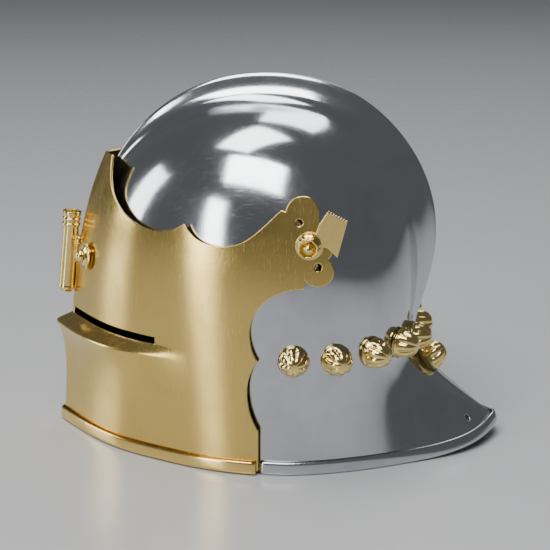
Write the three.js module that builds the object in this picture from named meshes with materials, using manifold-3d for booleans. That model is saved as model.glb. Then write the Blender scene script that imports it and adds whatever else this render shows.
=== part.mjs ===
// A late fifteenth-century visored sallet: a steel skull with a medial comb and a short tail,
// a brass visor on two pivots, a plume tube, fluted lining rivets, a lining and a chin strap.
// Millimetres, +Z up, the helmet faces -Y, its left side is +X, and it rests on z = 0.
import * as THREE from 'three';
import { mergeVertices } from 'three/addons/utils/BufferGeometryUtils.js';
import Module from 'manifold-3d';

const wasm = await Module();
wasm.setup();

// ---- Driving dimensions ----------------------------------------------------------------------
const GAP = 0.35;                 // air left between pieces that touch
const SKULL_SHEET = 2.0;
const VISOR_SHEET = 1.8;
const EDGE_HEIGHT = 2.8;          // height of the bare sheet edges above the rest plane
const RIM_HEIGHT = 9.4;
const RIM_PROUD = 2.9;
const RIM_STAND = 1.4;            // the band's inner face stays this far off the curved sheet
const VISOR_LIFT = 0.5;           // the visor's rim stays this far off the rest plane

const PIVOT_Y = 35;
const PIVOT_Z = 168;
const PIVOT_SHANK_R = 3.5;

const LIP_TOP_Z = 88.5;             // the ledge under the sight slits starts here
const LIP_RIDGE_Z = 80;           // and stands furthest out here
const LIP_REACH = 13.5;
const LIP_DECAY = 15;             // how fast the lip falls back below its ridge
const LIP_FLARE = 2.2;            // what is left of it at the rim
const LIP_FADE_START_Y = -112;    // the lip fades into the side between these two places
const LIP_FADE_END_Y = -52;

const SLIT_LOW_Z = 87.5;
const SLIT_HIGH_Z = 93.5;
const SLIT_BRIDGE_X = 5.5;        // half the width of the bridge between the two slits
const SLIT_END_Y = -78;

const RIVET_HEAD_R = 11.5;
const RIVET_HEAD_H = 14.5;
const RIVET_SHANK_R = 2;
const BAND_STAND = 1.3;           // the lining band hangs this far inside the curved sheet
const BAND_THICK = 2.4;
const BAND_LOW_Z = 74;
const BAND_HIGH_Z = 97;
const BURR_THICK = 1;
const BURR_R = 5.5;

const TUBE_R = 6.2;
const TUBE_WALL = 1.1;
const TUBE_TOP = [0, -155.9, 167];
const TUBE_FOOT = [0, -162.6, 103.5];
const TUBE_FLOOR = 9;             // the solid end under the bore
const SADDLE_Z = 137;
const SADDLE_LENGTH = 21;
const SADDLE_THICK = 1.6;
const ROSETTE_X = 23;
const ROSETTE_R = 11.4;
const SADDLE_SHANK_R = 1.4;

const LOBE_HOLES = [[27.5, 183.5, 2.6], [41, 153, 2.8]];   // y, z and radius in the visor's arms
const CORD_HOLE = [24, 147, 18];  // one of the pair of small holes near the tail's edge
const CORD_HOLE_R = 2.4;

const STRAP_WIDTH = 16;
const STRAP_THICK = 2.2;
const STRAP_Y = 24;

// ---- Materials -------------------------------------------------------------------------------
const finish = (color, roughness, metalness) => () => (
  new THREE.MeshStandardMaterial({ color, roughness, metalness }));
const steel = finish(0x9aa2aa, 0.12, 1);
const brass = finish(0xc79a3c, 0.2, 1);
const iron = finish(0x5c6066, 0.4, 1);
const leather = finish(0x5a3a22, 0.7, 0);
const linen = finish(0xcabf9f, 0.95, 0);

const helmet = new THREE.Group();

function place(name, geometry, material) {
  const mesh = new THREE.Mesh(geometry, material());
  mesh.name = name;
  helmet.add(mesh);
  return mesh;
}

// ---- Solids ----------------------------------------------------------------------------------
function geometryFrom(points, triangles) {
  const geometry = new THREE.BufferGeometry();
  geometry.setAttribute('position', new THREE.Float32BufferAttribute(points.flat(), 3));
  geometry.setIndex(triangles.flat());
  return geometry;
}

function toSolid(source) {
  const geometry = source.clone();
  geometry.deleteAttribute('normal');
  geometry.deleteAttribute('uv');
  const merged = mergeVertices(geometry, 1e-4);
  const vertProperties = new Float32Array(merged.attributes.position.array);
  const triVerts = new Uint32Array(merged.index.array);
  return new wasm.Manifold(new wasm.Mesh({ numProp: 3, vertProperties, triVerts }));
}

function toGeometry(solid) {
  const mesh = solid.getMesh();
  const geometry = new THREE.BufferGeometry();
  geometry.setAttribute('position', new THREE.BufferAttribute(mesh.vertProperties, 3));
  geometry.setIndex(new THREE.BufferAttribute(mesh.triVerts, 1));
  return geometry;
}

// A closed skin between two equal grids of points, walled all round.
function solidBetween(outer, inner) {
  const rows = outer.length;
  const columns = outer[0].length;
  const triangles = [];
  const quad = (a, b, c, d) => triangles.push([a, b, c], [a, c, d]);
  const out = (row, column) => row * columns + column;
  const into = (row, column) => rows * columns + out(row, column);
  for (let row = 0; row < rows - 1; row++) {
    for (let column = 0; column < columns - 1; column++) {
      quad(out(row, column), out(row, column + 1), out(row + 1, column + 1), out(row + 1, column));
      quad(into(row, column), into(row + 1, column), into(row + 1, column + 1), into(row, column + 1));
    }
  }
  const last = columns - 1;
  for (let row = 0; row < rows - 1; row++) {
    quad(out(row, 0), out(row + 1, 0), into(row + 1, 0), into(row, 0));
    quad(out(row + 1, last), out(row, last), into(row, last), into(row + 1, last));
  }
  for (let column = 0; column < last; column++) {
    quad(out(0, column + 1), out(0, column), into(0, column), into(0, column + 1));
    quad(out(rows - 1, column), out(rows - 1, column + 1), into(rows - 1, column + 1), into(rows - 1, column));
  }
  return geometryFrom([...outer.flat(), ...inner.flat()], triangles);
}

// A bar through a list of equal sections, capped at both ends. The outline runs anticlockwise.
function solidThrough(sections, outline) {
  const count = outline.length;
  const triangles = [];
  for (let s = 0; s < sections.length - 1; s++) {
    for (let i = 0; i < count; i++) {
      const a = s * count + i;
      const b = s * count + (i + 1) % count;
      triangles.push([a, b + count, b], [a, a + count, b + count]);
    }
  }
  const caps = THREE.ShapeUtils.triangulateShape(outline.map(([x, y]) => new THREE.Vector2(x, y)), []);
  const end = (sections.length - 1) * count;
  caps.forEach(([a, b, c]) => {
    triangles.push([a, b, c]);
    triangles.push([end + a, end + c, end + b]);
  });
  return geometryFrom(sections.flat(), triangles);
}

// The prism whose side view is the given outline of [y, z] points, from x = low to x = high.
function sidePrism(outline, low, high) {
  const shape = outline instanceof THREE.Shape
    ? outline : new THREE.Shape(outline.map(([y, z]) => new THREE.Vector2(y, z)));
  const geometry = new THREE.ExtrudeGeometry(shape, {
    depth: high - low, bevelEnabled: false, curveSegments: 6,
  });
  geometry.applyMatrix4(new THREE.Matrix4().set(0, 0, 1, low, 1, 0, 0, 0, 0, 1, 0, 0, 0, 0, 0, 1));
  return geometry;
}

function roundRod(radius, length, segments = 12) {
  return new THREE.CylinderGeometry(radius, radius, length, segments);
}

// Moves a geometry whose axis is +Y so that its origin sits at a point and its axis on a direction.
function along(geometry, point, direction) {
  const turn = new THREE.Quaternion().setFromUnitVectors(
    new THREE.Vector3(0, 1, 0), new THREE.Vector3(...direction).normalize());
  return geometry.clone().applyQuaternion(turn).translate(...point);
}

function turned(profile, segments) {
  return new THREE.LatheGeometry(profile.map(([r, h]) => new THREE.Vector2(r, h)), segments);
}

// ---- Curved surfaces -------------------------------------------------------------------------
const add = (a, b, scale = 1) => a.map((value, axis) => value + b[axis] * scale);
const dot = (a, b) => a.reduce((sum, value, axis) => sum + value * b[axis], 0);
const cross = (a, b) => [
  a[1] * b[2] - a[2] * b[1], a[2] * b[0] - a[0] * b[2], a[0] * b[1] - a[1] * b[0]];
const unit = (a) => a.map((value) => value / Math.hypot(...a));
const mirrored = ([x, ...rest]) => [-x, ...rest];

// Point at t, from 0 to 1, on the clamped cubic B-spline of a list of control points.
function splinePoint(control, t) {
  const spans = control.length - 3;
  const place01 = THREE.MathUtils.clamp(t, 0, 1) * spans;
  const span = Math.min(Math.floor(place01), spans - 1);
  const knot = (index) => THREE.MathUtils.clamp(index - 3, 0, spans);
  const work = control.slice(span, span + 4);
  for (let level = 1; level <= 3; level++) {
    for (let i = 3; i >= level; i--) {
      const low = knot(span + i);
      const high = knot(span + i + 4 - level);
      const share = (place01 - low) / (high - low);
      work[i] = work[i].map((value, axis) => work[i - 1][axis] * (1 - share) + value * share);
    }
  }
  return work[3];
}

// A surface from rows of control points that run from the middle plane to the left edge.
// It is evaluated at u, 0 to 1 over the rows, and v, -1 on the right edge to 1 on the left.
function symmetricSurface(halfRows, shaped = (point) => point) {
  const rows = halfRows.map((half) => [...half.slice(1).reverse().map(mirrored), ...half]);
  const point = (u, v) => shaped(splinePoint(rows.map((row) => splinePoint(row, (v + 1) / 2)), u));
  const nudge = 1e-3;
  const slopes = (u, v) => {
    const u0 = Math.max(0, u - nudge);
    const u1 = Math.min(1, u + nudge);
    const v0 = Math.max(-1, v - nudge);
    const v1 = Math.min(1, v + nudge);
    return [
      add(point(u1, v), point(u0, v), -1).map((value) => value / (u1 - u0)),
      add(point(u, v1), point(u, v0), -1).map((value) => value / (v1 - v0)),
    ];
  };
  const normal = (u, v) => {
    const [alongU, alongV] = slopes(u, v);
    return unit(cross(alongV, alongU));
  };
  // The surface's nearest place to a target, from a coarse search and damped Gauss-Newton steps.
  const distance = (u, v, target) => Math.hypot(...add(point(u, v), target, -1));
  const nearest = (target) => {
    let best = { reach: Infinity };
    for (let u = 0; u <= 1; u += 1 / 16) {
      for (let v = -1; v <= 1; v += 1 / 16) {
        const reach = distance(u, v, target);
        if (reach < best.reach) {
          best = { u, v, reach };
        }
      }
    }
    for (let round = 0; round < 12; round++) {
      const [a, b] = slopes(best.u, best.v);
      const miss = add(target, point(best.u, best.v), -1);
      const [aa, ab, bb, am, bm] = [dot(a, a), dot(a, b), dot(b, b), dot(a, miss), dot(b, miss)];
      const scale = aa * bb - ab * ab;
      for (let step = 1; step > 0.05; step /= 2) {
        const u = THREE.MathUtils.clamp(best.u + step * (am * bb - bm * ab) / scale, 0, 1);
        const v = THREE.MathUtils.clamp(best.v + step * (bm * aa - am * ab) / scale, -1, 1);
        const reach = distance(u, v, target);
        if (reach < best.reach) {
          best = { u, v, reach };
          break;
        }
      }
    }
    const { u, v } = best;
    return { u, v, point: point(u, v), normal: normal(u, v) };
  };
  return { point, normal, nearest };
}

// A sheet of even thickness under a surface.
function sheetSolid(surface, thickness, uSteps, vSteps) {
  const grid = (depth) => Array.from({ length: uSteps + 1 }, (_, i) => (
    Array.from({ length: vSteps + 1 }, (__, j) => {
      const u = i / uSteps;
      const v = -1 + 2 * j / vSteps;
      return add(surface.point(u, v), surface.normal(u, v), -depth);
    })));
  return solidBetween(grid(0), grid(thickness));
}

const SKULL_STEPS = [20, 30];     // facets along and across each sheet
const VISOR_STEPS = [15, 28];

// ---- Skull -----------------------------------------------------------------------------------
// One rib for each station from the brow, over the top, down the nape to the tail's point:
// the comb's crest [y, z], the comb's height and half width, then shoulder, temple, waist and edge.
const SKULL_RIBS = [
  [[-131, 186], 4, 8, [52, -106, 182], [91, -68, 148], [96, -38, 62], [98, -38]],
  [[-120, 217], 8, 9, [58, -92, 208], [98, -54, 152], [99, -23, 62], [101, -24]],
  [[-78, 263], 19, 12, [70, -54, 234], [109, -30, 156], [102.5, -6, 62], [104.5, -8]],
  [[-10, 279], 24, 13, [76, -8, 244], [112, 2, 158], [104.5, 12, 63], [108, 12]],
  [[62, 267], 24, 13, [73, 44, 230], [110, 34, 158], [102, 32, 65], [105, 34]],
  [[113, 213], 21, 13, [65, 83, 187], [99, 62, 142], [94, 54, 66], [97, 58]],
  [[127, 150], 18, 13, [60, 102, 140], [86, 80, 105], [79, 74, 66], [85, 84]],
  [[107, 92], 4, 11, [43, 101, 86], [63, 87, 74], [64, 88, 50], [68, 112]],
  [[104, 63], 1.5, 9, [32, 102, 61], [44, 100, 53], [50, 109, 32], [55, 137]],
  [[139, 35], 1.5, 7, [19, 139, 33], [26, 141, 28], [30, 148, 19], [33, 159]],
  [[168.5, 15], 0, 1, [1.6, 168.5, 14.2], [2.2, 168.5, 13.4], [2.7, 168.5, 12.6], [3.2, 168.5]],
];
const TAIL_RISE = 9;              // how far the tail's point lifts off the rest plane
const TAIL_LIFT_START_Y = 105;
const TAIL_LIFT_LENGTH = 64;

// The edge stays level along the sides and lifts towards the tail's point.
function edgeLift(y) {
  const share = THREE.MathUtils.clamp((y - TAIL_LIFT_START_Y) / TAIL_LIFT_LENGTH, 0, 1);
  return TAIL_RISE * share * share;
}

function skullRows() {
  return SKULL_RIBS.map(([crest, height, half, shoulder, temple, waist, edge], index) => {
    const before = SKULL_RIBS[Math.max(index - 1, 0)][0];
    const after = SKULL_RIBS[Math.min(index + 1, SKULL_RIBS.length - 1)][0];
    const inward = unit([after[1] - before[1], before[0] - after[0]]);
    const onComb = (x, depth) => [x, crest[0] + inward[0] * depth, crest[1] + inward[1] * depth];
    return [
      onComb(0, 0), onComb(Math.min(1.8, half * 0.3), 0), onComb(half * 0.36, height * 0.5),
      onComb(half, height), shoulder, temple, waist,
      [edge[0], edge[1], EDGE_HEIGHT + edgeLift(edge[1])],
    ];
  });
}
const skullSurface = symmetricSurface(skullRows());

// ---- Visor -----------------------------------------------------------------------------------
// Level lines of the visor from its rim up to its peak, each from the middle plane [x, y]
// round to behind the pivot. The rear and upper edges are trimmed from this sheet.
const VISOR_LEVELS = [
  [EDGE_HEIGHT + VISOR_LIFT,
    [[0, -166], [6, -161], [33, -140], [63, -112], [85.5, -75], [105.5, -37], [111.5, 4], [112, 58]]],
  [58, [[0, -162], [7, -157], [37, -136], [66, -109], [88.5, -73], [105.5, -37], [111.5, 4], [112, 58]]],
  [112, [[0, -158], [7, -153.5], [39, -133.5], [69, -107], [90.5, -72], [105.5, -37], [110.5, 4], [110, 58]]],
  [158, [[0, -150], [7, -146], [37, -129], [67, -104], [88.5, -71], [102, -37], [107, 4], [106.5, 58]]],
  [196, [[0, -139], [7, -135], [34, -119], [63, -98], [83.5, -69], [96.5, -37], [102, 4], [102, 58]]],
  [226, [[0, -124], [7, -120], [31, -106], [57, -88], [77, -63], [91, -35], [99, 4], [100, 58]]],
];

const smooth = THREE.MathUtils.smoothstep;

// Pushes the sheet outwards below the sight slits, most at the ridge and less towards the rim,
// and only round the front.
function withLip([x, y, z]) {
  const ledge = 1 - smooth(z, LIP_RIDGE_Z, LIP_TOP_Z);
  const below = Math.max(0, LIP_RIDGE_Z - z);
  const reach = ledge * (LIP_FLARE + (LIP_REACH - LIP_FLARE) * Math.exp(-below / LIP_DECAY));
  const fade = 1 - smooth(y, LIP_FADE_START_Y, LIP_FADE_END_Y);
  const away = Math.hypot(x, y - PIVOT_Y);
  const push = reach * fade / away;
  return [x + x * push, y + (y - PIVOT_Y) * push, z];
}
const visorSurface = symmetricSurface(
  VISOR_LEVELS.map(([z, line]) => line.map(([x, y]) => [x, y, z])), withLip);

// Where the plume tube's bracket is riveted, one place on each side of the keel.
const saddleSeats = ['left', 'right'].map((name) => {
  const sign = name === 'left' ? 1 : -1;
  return { name, ...visorSurface.nearest([sign * ROSETTE_X, -142, SADDLE_Z]) };
});

// The visor's side view: up the peak, along the scalloped upper edge to the arm's lobes,
// back along the lower edge and down to the rim.
function visorOutline() {
  const shape = new THREE.Shape();
  shape.moveTo(-200, -5);
  shape.lineTo(-200, 213);
  shape.lineTo(-121, 213);
  shape.bezierCurveTo(-120.5, 203, -121, 193, -113, 185);
  shape.bezierCurveTo(-107, 178.5, -97, 171, -79, 170.2);
  shape.quadraticCurveTo(-63, 171, -55, 177.5);
  shape.bezierCurveTo(-49, 164, -29, 160.5, -13, 167.5);
  shape.bezierCurveTo(-2, 173, 6, 183, 15, 191);
  shape.lineTo(18.5, 190);
  shape.bezierCurveTo(20, 204, 40, 206, 40.5, 190);
  shape.lineTo(41, 180);
  shape.bezierCurveTo(52, 177, 52, 160, 47, 159);
  shape.bezierCurveTo(55, 153, 52, 141, 42, 140);
  shape.bezierCurveTo(36, 139.5, 32, 143, 31.5, 146);
  shape.lineTo(31.5, 138);
  shape.bezierCurveTo(10, 137, -7, 124, -7.5, 104);
  shape.quadraticCurveTo(-7, 92, -1.5, 84);
  shape.bezierCurveTo(-12, 72, -12, 50, -1.3, 33);
  shape.lineTo(-1.3, -5);
  shape.closePath();
  return shape;
}

function makeVisor(pivotHole) {
  const lobeHoles = LOBE_HOLES.map(([y, z, radius]) => (
    along(roundRod(radius, 300, 12), [0, y, z], [1, 0, 0])));
  const slit = [[-175, SLIT_LOW_Z], [SLIT_END_Y, SLIT_LOW_Z], [SLIT_END_Y, SLIT_HIGH_Z],
    [-175, SLIT_HIGH_Z]];
  const slits = [
    sidePrism(slit, SLIT_BRIDGE_X, 150), sidePrism(slit, -150, -SLIT_BRIDGE_X)];
  const saddleHoles = saddleSeats.map(({ point, normal }) => (
    along(roundRod(SADDLE_SHANK_R + GAP, 12, 8), point, normal)));
  let visor = toSolid(sheetSolid(visorSurface, VISOR_SHEET, ...VISOR_STEPS))
    .intersect(toSolid(sidePrism(visorOutline(), -150, 150)));
  [pivotHole, ...lobeHoles, ...slits, ...saddleHoles].forEach((cut) => {
    visor = visor.subtract(toSolid(cut));
  });
  place('visor', toGeometry(visor), brass);
}

function makeSkull(pivotHole) {
  const rivetHoles = rivetSeats.map(({ point, normal }) => (
    along(roundRod(RIVET_SHANK_R + GAP, 20, 8), point, normal)));
  const cordHoles = [1, -1].map((side) => {
    const { point, normal } = skullSurface.nearest([side * CORD_HOLE[0], CORD_HOLE[1], CORD_HOLE[2]]);
    return along(roundRod(CORD_HOLE_R, 12, 10), point, normal);
  });
  let skull = toSolid(sheetSolid(skullSurface, SKULL_SHEET, ...SKULL_STEPS));
  [pivotHole, ...rivetHoles, ...cordHoles].forEach((cut) => {
    skull = skull.subtract(toSolid(cut));
  });
  place('skull', toGeometry(skull), steel);
}

// ---- Rolled rims -----------------------------------------------------------------------------
// The rim's section at one place on a sheet's edge: a rounded band on the sheet's outer face,
// turned under the edge. `across` runs along the edge.
// Reach is a share of RIM_PROUD; height is a share of the room under the sheet's edge, or of the
// rim's height above it.
const RIM_UNDER = [[0, 1], [-0.7, 1], [-0.9, 0.55], [-0.75, 0], [0.5, 0], [0.95, 0.55]];
const RIM_BAND = [[1, 0.5], [0.92, 0.87], [0.6, 1], [0, 1]];
const RIM_OUTLINE = [
  ...RIM_UNDER, ...RIM_BAND.map(([reach, share]) => [reach, share * RIM_HEIGHT]), [0.1, EDGE_HEIGHT]];

function rimSection(surface, edge, across, thickness) {
  const outward = unit(cross(across, [0, 0, 1]));
  const foot = edge[2] - EDGE_HEIGHT;
  const sheet = surface.nearest(edge);
  const room = EDGE_HEIGHT - GAP - thickness * Math.max(0, sheet.normal[2]) * 1.1;
  const under = RIM_UNDER.map(([reach, share]) => {
    const stand = reach >= 0 ? GAP + reach * RIM_PROUD : reach * (thickness + 1);
    const [x, y] = add(edge, outward, stand);
    return [x, y, foot + share * room];
  });
  const band = RIM_BAND.map(([reach, share]) => {
    const climb = share * RIM_HEIGHT - EDGE_HEIGHT;
    const { point, normal } = surface.nearest(add(edge, [0, 0, climb]));
    return add(point, normal, RIM_STAND + reach * (RIM_PROUD - RIM_STAND + GAP));
  });
  return [...under, ...band, add(edge, sheet.normal, 2 * GAP)];
}

function rim(surface, edges, thickness) {
  const sections = edges.map((edge, index) => {
    const before = edges[Math.max(index - 1, 0)];
    const after = edges[Math.min(index + 1, edges.length - 1)];
    return rimSection(surface, edge, unit([after[0] - before[0], after[1] - before[1], 0]), thickness);
  });
  return solidThrough(sections, RIM_OUTLINE.map(([reach, height]) => [reach * RIM_PROUD, height]));
}

const evenly = (count, from, to) => (
  Array.from({ length: count + 1 }, (_, index) => from + (to - from) * index / count));

function makeRims() {
  const skullEdge = evenly(SKULL_STEPS[0], 0, 1).map((u) => skullSurface.point(u, 1));
  const start = skullSurface.nearest([107, 0.3, EDGE_HEIGHT]).point;
  const side = [start, ...skullEdge.filter(([, y]) => y > 3)];
  const around = [...side, skullSurface.point(1, 0), ...side.map(mirrored).reverse()];
  place('skull_rim', rim(skullSurface, around, SKULL_SHEET), steel);

  const visorEdge = evenly(VISOR_STEPS[1], -1, 1).map((v) => visorSurface.point(0, v));
  const end = visorSurface.nearest([109, -2.2, EDGE_HEIGHT + VISOR_LIFT]).point;
  const front = [mirrored(end), ...visorEdge.filter(([, y]) => y < -8), end];
  place('visor_rim', rim(visorSurface, front, VISOR_SHEET), brass);
}

// ---- Lining rivets ---------------------------------------------------------------------------
// Each rivet's name, its place on the skull, and how far its flat head stands off the curved sheet.
const RIVET_PLACES = [
  ['front', [104, 24, 84], 1], ['temple', [100, 55.5, 83.5], 1.1], ['ear', [84, 84, 84.5], 1.4],
  ['back', [53.5, 100.5, 84.5], 1.7], ['neck', [18, 108, 80.5], 2.6]];
const NAPE_PLACE = ['nape', [0, 114, 55], 2.6];
const rivetSeats = [];
RIVET_PLACES.forEach(([label, spot, seat]) => {
  ['left', 'right'].forEach((side) => {
    const target = side === 'left' ? spot : mirrored(spot);
    rivetSeats.push({ name: `${label}_${side}`, seat, ...skullSurface.nearest(target) });
  });
});
rivetSeats.push({ name: NAPE_PLACE[0], seat: NAPE_PLACE[2], ...skullSurface.nearest(NAPE_PLACE[1]) });

const BURR_TOP = SKULL_SHEET + BAND_STAND + BAND_THICK + 2 * GAP;
const STRAP_DEPTH = BURR_TOP + 1.2;   // the straps lie between the band and the front burrs

// How deep under the skull's outer face a rivet's burr lies: the front pair also hold the straps.
const burrDepth = (name) => {
  if (name === 'nape') {
    return SKULL_SHEET + 1.5;       // this rivet passes below the band
  }
  return name.startsWith('front') ? STRAP_DEPTH + STRAP_THICK + 3 * GAP : BURR_TOP;
};

// A domed head with eight flutes, its shank and the end peened over the burr.
function flutedRivet(depth, seat) {
  const tail = -(depth + BURR_THICK + GAP);
  const dome = evenly(2, 0, 1).map((share) => {
    const angle = share * Math.PI / 2;
    return [RIVET_HEAD_R * 0.92 * Math.cos(angle) ** 0.9,
      seat + 1.8 + (RIVET_HEAD_H - 1.8) * Math.sin(angle)];
  });
  dome[dome.length - 1][0] = 0;
  const profile = [[0, tail - 1.5], [3, tail], [RIVET_SHANK_R, tail], [RIVET_SHANK_R, seat],
    [RIVET_HEAD_R, seat], [RIVET_HEAD_R, seat + 1.4], ...dome];
  const geometry = turned(profile, 16);
  const position = geometry.attributes.position;
  for (let index = 0; index < position.count; index++) {
    const [x, y, z] = [position.getX(index), position.getY(index), position.getZ(index)];
    const reach = Math.hypot(x, z);
    if (y > seat + 1.5 && reach > 0.1) {
      const hollow = (1 - Math.cos(8 * Math.atan2(x, z))) / 2;
      const flute = 1 - 0.07 * hollow * Math.min(1, reach / RIVET_HEAD_R * 1.6);
      position.setXYZ(index, x * flute, y, z * flute);
    }
  }
  return geometry;
}

function ring(inner, outer, low, high, segments) {
  return turned([[inner, low], [outer, low], [outer, high], [inner, high], [inner, low]], segments);
}

function makeLiningRivets() {
  rivetSeats.forEach(({ name, seat, point, normal }) => {
    const depth = burrDepth(name);
    place(`lining_rivet_${name}`, along(flutedRivet(depth, seat), point, normal), brass);
    const burr = ring(RIVET_SHANK_R + GAP, BURR_R, -depth - BURR_THICK, -depth, 8);
    place(`lining_burr_${name}`, along(burr, point, normal), iron);
  });
}

// ---- Lining ----------------------------------------------------------------------------------
const BAND_CENTRE_Y = 10;
const BAND_TURN = 1.85;           // radians round to each side from the nape

// The skull's place at a turn about the band's upright axis and a height.
function skullAt(turn, z) {
  let reach = 120;
  let seat;
  for (let round = 0; round < 6; round++) {
    seat = skullSurface.nearest([reach * Math.sin(turn), BAND_CENTRE_Y + reach * Math.cos(turn), z]);
    reach = Math.hypot(seat.point[0], seat.point[1] - BAND_CENTRE_Y);
  }
  return seat;
}

function makeBand() {
  const turns = evenly(28, -BAND_TURN, BAND_TURN);
  const heights = [BAND_HIGH_Z, (BAND_HIGH_Z + BAND_LOW_Z) / 2, BAND_LOW_Z];
  const bandGrid = (depth) => heights.map((z) => turns.map((turn) => {
    const { point } = skullAt(turn, z);
    return add(point, [Math.sin(turn), Math.cos(turn), 0], -depth);
  }));
  const bare = toSolid(solidBetween(
    bandGrid(SKULL_SHEET + BAND_STAND), bandGrid(SKULL_SHEET + BAND_STAND + BAND_THICK)));
  const band = rivetSeats.reduce((solid, { point, normal }) => (
    solid.subtract(toSolid(along(roundRod(RIVET_SHANK_R + GAP, 20, 8), point, normal)))), bare);
  place('lining_band', toGeometry(band), leather);
}

// A padded cap, open below and cut away over the face.
const LINER_SIZE = [86, 90, 108];
const LINER_CENTRE = [0, -6, 128];
const LINER_PAD = 14;
const LINER_LOW_Z = 84;

function makeLiner() {
  const skirt = (LINER_LOW_Z - LINER_CENTRE[2]) / LINER_SIZE[2];
  const pad = LINER_PAD / LINER_SIZE[0];
  const arc = (radius) => evenly(8, 0, 1).map((share) => (
    [radius * Math.cos(share * Math.PI / 2), radius * Math.sin(share * Math.PI / 2)]));
  const outside = [[0.97, skirt], ...arc(1)];
  const inside = [...arc(1 - pad).reverse(), [0.97 - pad, skirt]];
  outside[outside.length - 1][0] = 0;
  inside[0][0] = 0;
  const cap = turned([...outside, ...inside, outside[0]], 28).rotateX(Math.PI / 2);
  cap.scale(...LINER_SIZE).translate(...LINER_CENTRE);
  const face = [[-130, 60], [-34, 60], [-40, 120], [-62, 150], [-88, 172], [-130, 178]];
  place('liner', toGeometry(toSolid(cap).subtract(toSolid(sidePrism(face, -120, 120)))), linen);
}

// ---- Chin strap ------------------------------------------------------------------------------
const FLOOR_Z = 2.6;              // underside of the strap where it lies across the floor
const BAR_X = 30;                 // the buckle's hinge bar, along Y
const BAR_R = 1.5;
const EYE_R = BAR_R + GAP + STRAP_THICK;
const BAR_Z = FLOOR_Z + EYE_R;
const BUCKLE_LENGTH = 19;
const BUCKLE_WIDTH = 25;
const TONGUE_R = 1.1;

// Offsets an [x, z] path to one side, to make a ribbon's two faces.
function ribbon(path, thickness) {
  const curve = new THREE.CatmullRomCurve3(path.map(([x, z]) => new THREE.Vector3(x, z, 0)));
  const shares = evenly(18, 0, 1);
  const side = (distance) => shares.map((share) => {
    const point = curve.getPoint(share);
    const tangent = curve.getTangent(share);
    return new THREE.Vector2(point.x - tangent.y * distance, point.y + tangent.x * distance);
  });
  return new THREE.Shape([...side(0), ...side(thickness).reverse()]);
}

// An outline in x and z, extruded along Y about the straps' middle.
function acrossStrap(shape, width, centre = STRAP_Y) {
  const geometry = new THREE.ExtrudeGeometry(shape, { depth: width, bevelEnabled: false, curveSegments: 10 });
  geometry.applyMatrix4(new THREE.Matrix4().set(
    1, 0, 0, 0, 0, 0, -1, centre + width / 2, 0, 1, 0, 0, 0, 0, 0, 1));
  return geometry;
}

function strapPath(endX) {
  const seat = rivetSeats.find(({ name }) => name === 'front_left');
  const wall = seat.point[0] - STRAP_DEPTH;
  return [[wall - 0.6, 96], [wall, 84], [wall - 1, 60], [wall - 3, 34], [wall - 10, 13],
    [wall - 24, FLOOR_Z + 0.6], [wall - 40, FLOOR_Z], [endX + 18, FLOOR_Z], [endX, FLOOR_Z]];
}

function makeStraps() {
  ['left', 'right'].forEach((side) => {
    const sign = side === 'left' ? 1 : -1;
    const endX = side === 'left' ? BAR_X + 2 : 4;
    // Seen along Y the path runs from the skull's wall down and inwards, thickness to the inside.
    let strap = toSolid(acrossStrap(ribbon(strapPath(endX), -STRAP_THICK), STRAP_WIDTH));
    if (side === 'left') {
      const bar = [BAR_X, STRAP_Y, BAR_Z];
      strap = strap.add(toSolid(along(roundRod(EYE_R, STRAP_WIDTH, 16), bar, [0, 1, 0])))
        .subtract(toSolid(along(roundRod(BAR_R + GAP, 40, 16), bar, [0, 1, 0])))
        .subtract(toSolid(new THREE.BoxGeometry(EYE_R * 4, 5, 12).translate(BAR_X - 2, STRAP_Y, BAR_Z)));
    } else {
      strap = [20, 32, 44].reduce((solid, x) => solid.subtract(
        toSolid(along(roundRod(1.6, 12, 8), [x, STRAP_Y, FLOOR_Z], [0, 0, 1]))), strap);
    }
    const seat = rivetSeats.find(({ name }) => name === 'front_left');
    strap = strap.subtract(toSolid(along(roundRod(RIVET_SHANK_R + GAP, 30, 8), seat.point, seat.normal)));
    const geometry = toGeometry(strap);
    place(`chin_strap_${side}`, sign > 0 ? geometry : flipped(geometry), leather);
  });
}

// The mirror image of a geometry in the middle plane.
function flipped(source) {
  const geometry = source.clone().scale(-1, 1, 1);
  const index = geometry.index.array;
  for (let corner = 0; corner < index.length; corner += 3) {
    [index[corner], index[corner + 1]] = [index[corner + 1], index[corner]];
  }
  return geometry;
}

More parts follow.
